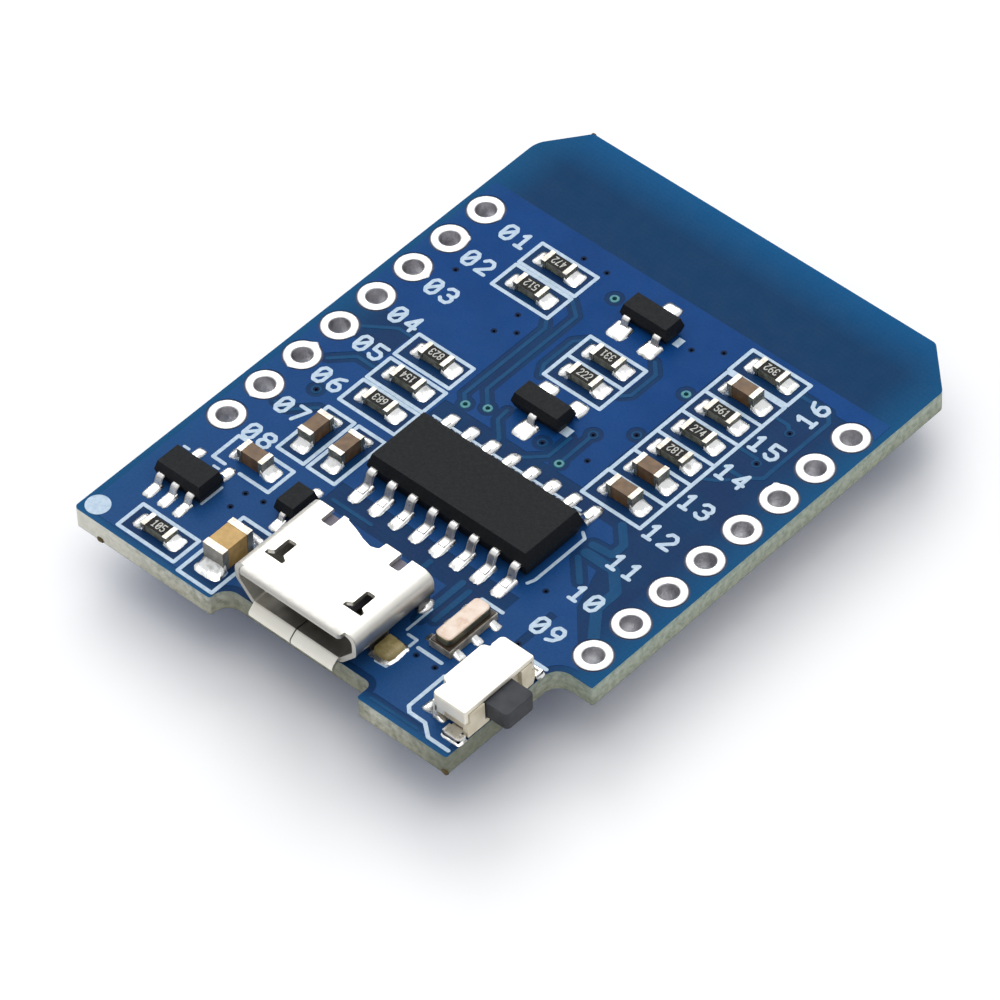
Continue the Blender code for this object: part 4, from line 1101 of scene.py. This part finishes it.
def make_chip_parts():
    solder = bmesh.new()
    for number in range(len(RESISTOR_CODES)):
        node = f"resistor_{number + 1:02d}"
        make_resistor(number, node)
        add_chip_solder(solder, node, 0.60, 0.50, 0.26, number * 1.7)
    for number in range(1, 7):
        node = f"capacitor_{number}"
        make_capacitor(node, "brown_ceramic", "cap_end", "capacitor_brown", CAPACITOR_CAP)
        add_chip_solder(solder, node, 0.60, 0.50, 0.40, number * 2.3 + 40)
    make_capacitor("bulk_capacitor", "tan_ceramic", "bulk_cap_end", "capacitor_tan", BULK_CAP)
    add_chip_solder(solder, "bulk_capacitor", 0.72, 0.78, 0.50, 77.0)
    make_solder("chip_solder", solder)


# ---------------------------------------------------------------- parts with gull-wing leads

def bend_path(points, radius):
    """The polyline through points with its inner corners rounded."""
    steps = 5
    path = [Vector(points[0])]
    for before, corner, after in zip(points, points[1:], points[2:]):
        corner = Vector(corner)
        back = Vector(before) - corner
        ahead = Vector(after) - corner
        reach = min(radius, back.length * 0.45, ahead.length * 0.45)
        start = corner + back.normalized() * reach
        end = corner + ahead.normalized() * reach
        for step in range(steps + 1):
            t = step / steps
            path.append(start * (1 - t) ** 2 + corner * 2 * t * (1 - t) + end * t ** 2)
    path.append(Vector(points[-1]))
    return path


def add_strip(bm, path, x, edge, side, half_width, thickness):
    """Sheet metal of constant thickness that leaves edge, a y value, along (out, z) points."""
    rings = []
    round_over = min(0.03, thickness / 3)
    for index, point in enumerate(path):
        ahead = path[min(index + 1, len(path) - 1)] - path[max(index - 1, 0)]
        normal = Vector((-ahead.y, ahead.x)).normalized() * thickness / 2
        ring = []
        for flank, lift in ((-1, -1), (1, -1), (1, 1), (-1, 1)):
            trims = [(round_over, 0.0), (0.0, round_over)]
            for trim_width, trim_lift in trims if flank * lift > 0 else trims[::-1]:
                out = point + normal * lift * (1 - trim_lift / (thickness / 2))
                ring.append((x + flank * (half_width - trim_width), edge + side * out.x, out.y))
        rings.append(ring)
    add_rings(bm, rings)


def add_gull_lead(bm, x, side, edge, lead):
    """A lead that leaves a body's side at edge (a y value) and steps down to its foot."""
    width, thickness, exit_height, reach, foot = lead
    sole = SEAT + thickness / 2
    knee = reach - foot
    points = [(-0.2, SEAT + exit_height), (knee * 0.5, SEAT + exit_height),
              (knee + 0.02, sole), (reach, sole)]
    add_strip(bm, bend_path(points, 0.22), x, edge, side, width / 2, thickness)


def drafted_body(centre, size, exit_height, draft):
    """A moulded body, widest where its leads come out."""
    bm = bmesh.new()
    rings = []
    for height, inset in ((0.08, draft), (exit_height - 0.03, 0.0), (exit_height + 0.03, 0.0),
                          (size[2], draft)):
        x = size[0] / 2 - inset
        y = size[1] / 2 - inset
        plan = rectangle(centre.x - x, centre.x + x, centre.y - y, centre.y + y)
        rings.append([(*corner, SEAT + height) for corner in plan])
    add_rings(bm, rings)
    soften(bm, 0.05, limit=40.0)
    return bm


# Leads as (x offset, side), and as (width, thickness, exit height, reach, foot)
CHIP_LEADS = [((place - 3.5) * 1.27, side) for side in (-1, 1) for place in range(8)]
SOT_LEAD = (0.42, 0.12, 0.5, 0.6, 0.3)

# Body size, leads, lead sizes, pad half width, pad reach past the toe at the front and rear, draft
LEADED_PARTS = {
    "usb_serial_chip": ((9.9, 3.9, 1.5), CHIP_LEADS,
                        (0.42, 0.2, 0.8, 1.05, 0.55), 0.365, (0.62, 0.62), 0.2),
    "transistor_1": ((2.9, 1.3, 1.0), [(0.0, 1), (-0.95, -1), (0.95, -1)],
                     SOT_LEAD, 0.53, (0.55, 0.52), 0.13),
    "transistor_2": ((2.9, 1.3, 1.0), [(0.0, -1), (-0.95, 1), (0.95, 1)],
                     SOT_LEAD, 0.53, (0.60, 0.52), 0.13),
    "voltage_regulator": ((2.9, 1.6, 1.1), [(-0.95, -1), (0.0, -1), (0.95, -1), (-0.95, 1), (0.95, 1)],
                          (0.4, 0.13, 0.55, 0.65, 0.32), 0.29, (0.55, 0.50), 0.13),
    "input_diode": ((1.25, 1.7, 0.95), [(0.0, -1), (0.0, 1)],
                    (0.35, 0.12, 0.4, 0.45, 0.25), 0.30, (0.42, 0.32), 0.12),
}


def make_leaded_part(node, solder):
    """A moulded body with its leads, and a mound of solder under each foot."""
    size, leads, lead, pad_half, pad_reach, draft = LEADED_PARTS[node]
    low, high = box_mm(node)
    centre = (low + high) / 2
    bm = drafted_body(centre, size, lead[2], draft)
    metal = bmesh.new()
    _, thickness, _, reach, foot = lead
    for index, (offset, side) in enumerate(leads):
        edge = centre.y + side * size[1] / 2
        add_gull_lead(metal, centre.x + offset, side, edge, lead)
        heel = edge + side * (reach - foot - PAD_OVERLAP)
        past = pad_reach[0] if side < 0 else pad_reach[1]
        spread = pad_half * (1 + 0.05 * math.sin(index * 2.1))
        add_mound(solder, (centre.x + offset, heel), (0, side), foot + PAD_OVERLAP + past, spread,
                  thickness * 0.75, foot=0.06, seed=index * 3.1 + centre.x, power=1.1)
    join_mesh(bm, metal, 1)
    stand_in(node, bm, ["chip_epoxy", "lead_tin"], "chip_black", suffix="part")


def make_leaded_parts():
    solder = bmesh.new()
    for node in LEADED_PARTS:
        make_leaded_part(node, solder)
    make_solder("lead_solder", solder)


# ---------------------------------------------------------------- resonator

def make_resonator():
    """A ceramic tray with a lacquered lid on a dark seal, and a pad at each end and in the middle."""
    low, high = box_mm("resonator_base")
    bm = soft_box(low, high, 0.04)
    lid_low, lid_high = box_mm("resonator_lid")
    border = 0.07
    add_soft_box(bm, (lid_low.x - border, lid_low.y - border, high.z - 0.03),
                 (lid_high.x + border, lid_high.y + border, high.z + 0.06), 0.02, material=1)
    looks = ["resonator_body", "resonator_seal"]
    stand_in("resonator_base", bm, looks, "resonator_base", suffix="body")
    lid = refined("resonator_lid", 0.03)
    # Faces not turned up take a darker brass: the lid's brass sides, darkened as a painted reflection
    # of the dark horizon.
    for face in lid.faces:
        face.material_index = 0 if face.normal.z > 0.6 else 1
    stand_in("resonator_lid", lid, ["resonator_lid", "lid_brass"], "resonator_lid")
    solder = bmesh.new()
    pad_pitch = 1.2
    for index in range(3):
        for side in (-1, 1):
            y = (low.y + high.y) / 2 + (index - 1) * pad_pitch
            start = ((high.x if side > 0 else low.x) - side * 0.1, y)
            add_mound(solder, start, (side, 0), 0.56, 0.26, 0.24, seed=index + side * 7.0)
    make_solder("resonator_solder", solder)


# ---------------------------------------------------------------- USB socket

SHEET = 0.25
SHELL_TOP = 2.5
SHELL_HALF_WIDTH = 3.75
SHELL_BEND = 1.3
SHELL_BOTTOM = 0.2
SHELL_FLOOR_HALF_WIDTH = 2.75
MOUTH_Y = -15.97
LIP_TIP_Y = -16.42
LIP_HALF_WIDTH = 3.1
FLANGE_HALF_WIDTH = 2.6
LIP_RISE = 0.10
FLANGE_DROP = 0.36
LATCH_X = 2.43
REAR_NOTCH_X = 2.1

# Legs as (distance from the middle, thickness, y from and to, height)
SHELL_LEGS = [(3.02, 0.17, -11.33, -10.55, 0.75), (3.05, 0.19, -14.5, -13.35, 0.72)]


def shell_section(middle, inset):
    """The D-shaped section of the socket's shell, moved in by inset, as (x, z) points."""
    slope = math.atan2(SHELL_BEND - SHELL_BOTTOM, SHELL_HALF_WIDTH - SHELL_FLOOR_HALF_WIDTH)
    side_shift = inset * math.tan((math.pi / 2 - slope) / 2)
    floor_shift = inset * math.tan(slope / 2)
    side = SHELL_HALF_WIDTH - inset
    floor = SHELL_FLOOR_HALF_WIDTH - floor_shift
    corners = []
    for sign, order in ((1, (0, 1, 2)), (-1, (2, 1, 0))):
        for place in order:
            x, z, radius = ((floor, SHELL_BOTTOM + inset, 0.45), (side, SHELL_BEND + side_shift, 0.5),
                            (side, SHELL_TOP - inset, 0.62))[place]
            corners.append((middle + sign * x, TOP + z, max(radius - inset, 0.1)))
    return rounded_outline(corners, 8)


def shell_cutters(middle, rear):
    """Latch slots, rear notches, scoop, the gap over the tails, the seam and the mouth's corners."""
    bm = bmesh.new()
    roof = (TOP + SHELL_TOP - SHEET - 0.2, TOP + SHELL_TOP + 0.2)
    floor = (TOP - 0.3, TOP + SHELL_BOTTOM + SHEET + 0.1)
    behind = rear + 0.5
    ahead = LIP_TIP_Y - 1.08
    beside = SHELL_HALF_WIDTH + 1.25
    for side in (-1, 1):
        x = middle + side * LATCH_X
        tee = [(x - 0.56, -14.8, 0.04), (x + 0.56, -14.8, 0.04), (x + 0.56, -14.56, 0.06),
               (x + 0.27, -14.40, 0.08), (x + 0.27, -13.47, 0.10), (x - 0.27, -13.47, 0.10),
               (x - 0.27, -14.40, 0.08), (x - 0.56, -14.56, 0.06)]
        add_prism(bm, rounded_outline(tee, 4), *roof)
        x = middle + side * REAR_NOTCH_X
        notch = [(x - 0.33, -11.72, 0.12), (x + 0.33, -11.72, 0.12), (x + 0.33, behind, 0),
                 (x - 0.33, behind, 0)]
        add_prism(bm, rounded_outline(notch, 4), *roof)
        upper = [(LIP_HALF_WIDTH, MOUTH_Y), (beside, MOUTH_Y), (beside, ahead),
                 (LIP_HALF_WIDTH - 0.3, ahead), (LIP_HALF_WIDTH - 0.3, LIP_TIP_Y - 0.05),
                 (LIP_HALF_WIDTH - 0.1, LIP_TIP_Y + 0.03), (LIP_HALF_WIDTH, LIP_TIP_Y + 0.2)]
        lower = rectangle(FLANGE_HALF_WIDTH, beside, MOUTH_Y, ahead)
        for outline, low, high in ((upper, 1.0, 3.5), (lower, -0.5, 1.0)):
            add_prism(bm, [(middle + side * x, y) for x, y in outline], TOP + low, TOP + high)
    scoop = [(middle - 1.75, behind, 0), (middle - 1.45, rear - 0.12, 0.1),
             (middle - 0.85, -11.04, 0.3), (middle - 0.20, -11.28, 0.2),
             (middle + 0.42, -11.42, 0.2), (middle + 0.80, -11.28, 0.12), (middle + 0.90, behind, 0)]
    add_prism(bm, rounded_outline(scoop, 6), *roof)
    for half_width, near, far in ((1.7, -12.36, behind), (0.035, ahead, -12.5)):
        add_prism(bm, rectangle(middle - half_width, middle + half_width, near, far), *floor)
    return bm


def make_usb_shell(middle):
    """Folded sheet steel: a D-shaped tube whose mouth flares above and below."""
    rear = box_mm("usb_insulator")[1].y + 0.13
    edge = 0.05
    stations = [rear, MOUTH_Y, MOUTH_Y - 0.1, MOUTH_Y - 0.2, MOUTH_Y - 0.3, LIP_TIP_Y + edge]
    rings = [(rear, edge), (rear - edge, 0.0)]
    rings += [(y, 0.0) for y in stations[1:]]
    rings += [(LIP_TIP_Y, edge), (LIP_TIP_Y, SHEET - edge)]
    rings += [(y, SHEET) for y in stations[:0:-1]]
    rings += [(rear - edge, SHEET), (rear, SHEET - edge)]
    bm = bmesh.new()
    sections = [[(x, y, z) for x, z in shell_section(middle, inset)] for y, inset in rings]
    add_rings(bm, sections, closed=True)
    centre = Vector((middle, TOP + SHELL_TOP / 2))
    bmesh.ops.recalc_face_normals(bm, faces=bm.faces)
    # Faces past the mouth on the lower half take the flange's paler copy of the steel, a painted
    # reflection of the white floor; faces turned inwards take the inside look, with painted shade.
    for face in bm.faces:
        outward = Vector(face.calc_center_median().xz) - centre
        past_mouth = face.calc_center_median().y < MOUTH_Y
        if past_mouth:
            face.material_index = 2 if outward.y < 0 else 0
        elif Vector(face.normal.xz).dot(outward) < -0.05:
            face.material_index = 1
    bm = carved(bm, shell_cutters(middle, rear))
    for vert in bm.verts:
        past = (MOUTH_Y - vert.co.y) / (MOUTH_Y - LIP_TIP_Y)
        if past > 0:
            upper = vert.co.z > TOP + 1.0
            vert.co.z += LIP_RISE * past ** 2 if upper else -FLANGE_DROP * past ** 1.3
    for side in (-1, 1):
        for x, width, near, far, high in SHELL_LEGS:
            left, right = sorted((middle + side * x, middle + side * (x + width)))
            add_soft_box(bm, (left, near, SEAT), (right, far, TOP + high), 0.04)
    stand_in("usb_shell", bm, ["shell_steel", "shell_inside", "shell_lip"], "socket_steel")


def make_usb_socket():
    """The shell, the insulator cut open behind, its contacts, and their solder and flux."""
    low, high = box_mm("usb_insulator")
    middle = (low.x + high.x) / 2
    make_usb_shell(middle)
    gap = bmesh.new()
    add_box(gap, (middle - 1.5, -11.5, TOP + 1.5), (middle + 1.0, high.y + 1.0, TOP + SHELL_TOP + 1.0))
    insulator = carved(refined("usb_insulator", 0.02), gap)
    stand_in("usb_insulator", insulator, "socket_plastic", "socket_plastic")
    for number in range(1, 6):
        finish_node(f"usb_contact_{number}", "contact_gold", 0.02, "contact_gold")
    solder = bmesh.new()
    for side in (-1, 1):
        add_bead(solder, (middle + side * 3.16, -10.86), (0.35, 0.53), 0.22)
        add_mound(solder, (middle + side * 3.20, -13.92), (side, 0), 1.26, 0.80, 0.06, seed=side * 9.0)
        # Dried flux over the front leg's pad
        add_mound(solder, (middle + side * 3.35, -13.88), (side, 0), 0.95, 0.64, 0.12, foot=0.30,
                  seed=side * 9.5, power=0.9, material=1)
    for number in range(1, 6):
        contact = box_mm(f"usb_contact_{number}")
        x = (contact[0].x + contact[1].x) / 2
        add_mound(solder, (x, contact[1].y - 0.3), (0, 1), 0.75, 0.19, 0.14, seed=number * 2.0)
    make_solder("usb_solder", solder, ["solder", "flux"])


# ---------------------------------------------------------------- reset switch

# How far the cover's soldered feet reach out behind it, and the most its notched plan can shrink by
SWITCH_FOOT = 0.42
NOTCH_SAFE_INSET = 0.045


def cover_outline(low, high, back, inset):
    """Plan of the cover: a straight face, and ears set back behind a notch at the other corners."""
    ear = back + 0.25
    corners = [(high.x - 0.02, low.y, 0.1), (high.x - 0.02, high.y, 0.1), (ear + 0.08, high.y, 0.28)]
    for turn, end in ((-1, high.y), (1, low.y)):
        steps = [(ear + 0.05, end + turn * 0.72, 0.08), (ear + 0.14, end + turn * 0.84, 0.06),
                 (back + 0.12, end + turn * 0.94, 0.05), (back, end + turn * 1.08, 0.12)]
        corners += steps if turn < 0 else steps[::-1]
    corners.append((ear, low.y, 0.22))
    outline = [Vector(point) for point in rounded_outline(corners, 4)]
    moved = []
    for before, point, after in zip(outline[-1:] + outline, outline, outline[1:] + outline[:1]):
        along = (after - before).normalized()
        moved.append((point.x - along.y * inset, point.y + along.x * inset))
    return moved


def make_switch_cover():
    """Bent steel cap with its walls open towards the button."""
    low, high = box_mm("switch_cover")
    back = low.x + SWITCH_FOOT
    skirt = TOP + 0.92
    bend = 0.14
    levels = [(skirt, 0.0), (high.z - bend, 0.0)]
    for step in range(1, 5):
        turn = math.pi / 2 * step / 4
        levels.append((high.z - bend + bend * math.sin(turn), NOTCH_SAFE_INSET * (1 - math.cos(turn))))
    bm = bmesh.new()
    plans = [(cover_outline(low, high, back, inset), z) for z, inset in levels]
    add_rings(bm, [[(*point, z) for point in plan] for plan, z in plans])
    hollow = bmesh.new()
    add_box(hollow, (back + 0.5, low.y + 0.2, skirt - 1), (high.x + 1, high.y - 0.2, high.z - 0.2))
    bm = carved(bm, hollow)
    for side, end in ((1, low.y), (-1, high.y)):
        for width, left, right, foot, crest in ((0.62, 0.27, 0.50, SEAT, 0.2),
                                                (0.18, 0.40, 0.95, TOP + 0.55, 0.1)):
            near, far = sorted((end + side * 0.03, end + side * width))
            add_soft_box(bm, (back + left, near, foot), (back + right, far, skirt + crest), 0.03)
    stand_in("switch_cover", bm, "switch_steel", "switch_steel")
    solder = bmesh.new()
    for y in (low.y + 0.36, high.y - 0.36):
        add_mound(solder, (back + 0.40, y), (-1, 0), 0.92, 0.38, 0.30, foot=0.06, seed=y)
        add_mound(solder, (back + 0.30, y), (1, 0), 0.62, 0.42, 0.16, foot=0.06, seed=y + 1.0)
    return solder


def make_switch_terminal(node, side, solder):
    """A contact strip whose end is a small tray with turned-up rims."""
    low, high = box_mm(node)
    end = low.y if side < 0 else high.y
    tray = sorted((end, end - side * 0.48))
    tip = sorted((end, end - side * 0.10))
    right = low.x + 0.98
    bm = soft_box(low, high - Vector((0, 0, 0.06)), 0.03)
    parts = [((low.x, tray[0], low.z), (right, tray[1], high.z - 0.08)),
             ((low.x, tray[0], low.z), (low.x + 0.10, tray[1], high.z + 0.14)),
             ((right - 0.10, tray[0], low.z), (right, tray[1], high.z + 0.06)),
             ((low.x, tip[0], low.z), (right, tip[1], high.z + 0.04))]
    for near, far in parts:
        add_soft_box(bm, near, far, 0.03)
    stand_in(node, bm, "lead_tin", "switch_steel")
    add_mound(solder, (low.x + 0.5, end - side * 0.45), (0, side), 0.58, 0.60, 0.08, seed=side * 3.3)


def make_reset_switch():
    """The cover, housing, terminals and solder, and the button that slides in over its leaf."""
    solder = make_switch_cover()
    finish_node("switch_housing", "switch_ivory", 0.04, "switch_ivory")
    finish_node("switch_button", "button_plastic", 0.05, "button_black", body=BUTTON, segments=3)
    leaf = finish_node("switch_spring_leaf", "crystal_steel", 0.01, "switch_steel")
    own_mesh(leaf)
    make_switch_terminal("switch_terminal_front", -1, solder)
    make_switch_terminal("switch_terminal_rear", 1, solder)
    make_solder("switch_solder", solder)


# ---------------------------------------------------------------- radio module underneath

# Path of the printed antenna
ANTENNA = [(-5.6, 10.6), (-5.6, 16.1), (-3.9, 16.1), (-3.9, 12.4), (-2.5, 12.4), (-2.5, 16.1),
           (-1.1, 16.1), (-1.1, 12.4), (0.3, 12.4), (0.3, 16.1), (1.7, 16.1), (1.7, 12.4),
           (3.1, 12.4), (3.1, 16.1), (6.2, 16.1), (6.2, 12.0)]
ANTENNA_WIDTH = 0.5


# Look, material slot and nodes of the module's small parts
MODULE_PARTS = [
    ("chip_epoxy", "chip_black", ["processor", "flash_chip"]),
    ("crystal_steel", "crystal_steel", ["crystal"]),
    ("brown_ceramic", "capacitor_brown", ["capacitor_1", "capacitor_2"]),
    ("alumina", "resistor_ceramic", ["resistor", "led_resistor"]),
    ("led_lens", "led_white", ["status_led"]),
]
PAD_PITCH = 2.0
PAD_DEPTH = 0.55
CASTELLATION = 0.33


def module_pads():
    """Edge pads down both sides and along the near end, as (x, y, outward direction)."""
    low, high = box_mm("module_board")
    can = box_mm("module_shield")
    pads = []
    for index in range(8):
        for side in (-1, 1):
            pads.append((high.x * side, can[0].y + PAD_PITCH * index, (side, 0)))
    for index in range(6):
        pads.append((PAD_PITCH * (index - 2.5), low.y, (0, -1)))
    return pads


def make_module():
    """The radio module on the underside: its can, the parts inside it, its pads and its antenna."""
    finish_node("module_board", "mask_over_copper", 0.02, "module_blue")
    finish_node("module_shield", "can_steel", 0.04, "can_steel")
    for item, slot, nodes in MODULE_PARTS:
        for node in nodes:
            finish_node(f"module_{node}", item, 0.03, slot)
    face = box_mm("module_board")[0].z
    plate_piece("module_antenna", "mask_over_track", stroke(ANTENNA, ANTENNA_WIDTH),
                (face - 0.02, face + 0.005), slot="module_blue")
    pads = bmesh.new()
    solder = bmesh.new()
    for index, (x, y, out) in enumerate(module_pads()):
        inner_x = x - out[0] * PAD_DEPTH
        inner_y = y - out[1] * PAD_DEPTH
        wide, deep = (0.5, 0.45) if out[0] else (0.45, 0.5)
        pad = rectangle(inner_x - wide, inner_x + wide, inner_y - deep, inner_y + deep)
        add_plate(pads, [pad], face - 0.03, face + 0.005, [circle((x, y), CASTELLATION, 16)])
        start = (x - out[0] * 0.30, y - out[1] * 0.30)
        add_mound(solder, start, out, 1.15, 0.42, 0.62, side=TOWARDS_FLOOR, seed=index * 1.9)
    make_piece("module_pads", pads, "contact_gold", "contact_gold")
    make_solder("module_solder", solder)


# ---------------------------------------------------------------- stage

CAMERA_PLACE = (0.160096, -0.166308, 0.247527)
CAMERA_RIGHT = (0.73757, 0.67464, -0.02923)
CAMERA_UP = (-0.47893, 0.55314, 0.68166)
CAMERA_LENS = 261.35
SENSOR = 36.0


def make_camera():
    """A long lens above the board's front corner."""
    data = bpy.data.cameras.new("camera")
    data.lens = CAMERA_LENS
    data.sensor_width = SENSOR
    data.clip_start = 0.01
    data.clip_end = 10.0
    camera = new_object("camera", data)
    right = Vector(CAMERA_RIGHT).normalized()
    up = Vector(CAMERA_UP).normalized()
    turn = Matrix((right, up, right.cross(up))).transposed()
    camera.matrix_world = Matrix.Translation(CAMERA_PLACE) @ turn.to_4x4()
    bpy.context.scene.camera = camera


def make_floor():
    """A pale sheet just under the part."""
    bm = bmesh.new()
    bmesh.ops.create_grid(bm, x_segments=2, y_segments=2, size=1.2)
    bmesh.ops.translate(bm, vec=(0, 0, -0.00002), verts=bm.verts)
    floor = to_object("floor", bm)
    made = Look("floor_paper", specular=0.1, roughness=0.9)
    made.colour(made.clouds(0.01, (0.94, 0.94, 0.94), (0.96, 0.96, 0.96), 2.0))
    floor.data.materials.append(made.material)


def add_light(name, place, size, power):
    """A square softbox aimed at the middle of the board."""
    data = bpy.data.lights.new(name, "AREA")
    data.shape = "RECTANGLE"
    data.size = data.size_y = size
    data.energy = power
    light = new_object(name, data)
    light.location = place
    light.rotation_mode = "QUATERNION"
    light.rotation_quaternion = (Vector(LIGHT_AIM) - Vector(place)).to_track_quat("-Z", "Y")


LIGHT_AIM = (0.0, 0.0, 0.004)
HORIZON = (0.10, 0.10, 0.11)
SKY = (0.74, 0.75, 0.77)


def make_lights():
    """Two softboxes under a dome that is dark at the horizon and pale overhead."""
    world = bpy.data.worlds.new("studio")
    world.use_nodes = True
    nodes = world.node_tree.nodes
    link = world.node_tree.links.new
    place = nodes.new("ShaderNodeTexCoord")
    split = nodes.new("ShaderNodeSeparateXYZ")
    ramp = nodes.new("ShaderNodeValToRGB")
    link(place.outputs["Generated"], split.inputs[0])
    link(split.outputs["Z"], ramp.inputs["Fac"])
    link(ramp.outputs["Color"], nodes["Background"].inputs["Color"])
    low, high = ramp.color_ramp.elements
    low.position, low.color = 0.14, (*HORIZON, 1.0)
    high.position, high.color = 0.46, (*SKY, 1.0)
    bpy.context.scene.world = world
    add_light("key_softbox", (-0.32, 0.33, 0.52), 0.42, 1.5)
    add_light("overhead_softbox", (0.05, -0.05, 0.75), 0.6, 1.6)


def set_exposure():
    view = bpy.context.scene.view_settings
    view.view_transform = "Standard"
    view.look = "None"


make_camera()
make_floor()
make_lights()
set_exposure()
make_laminate()
# Copper pour is also left out inside every printed box, so the mask shows darker round the parts:
# partly bare ground, partly painted shade.
make_mask(TOWARDS_TOP, "top", TRACKS, BARE_AREAS + [rectangle(*box) for box in PRINTED_BOXES])
make_mask(TOWARDS_FLOOR, "underside", [], [])
make_vias()
make_plated_holes()
make_print()
make_edge_nibs()
make_chip_parts()
make_leaded_parts()
make_resonator()
make_usb_socket()
make_reset_switch()
make_module()
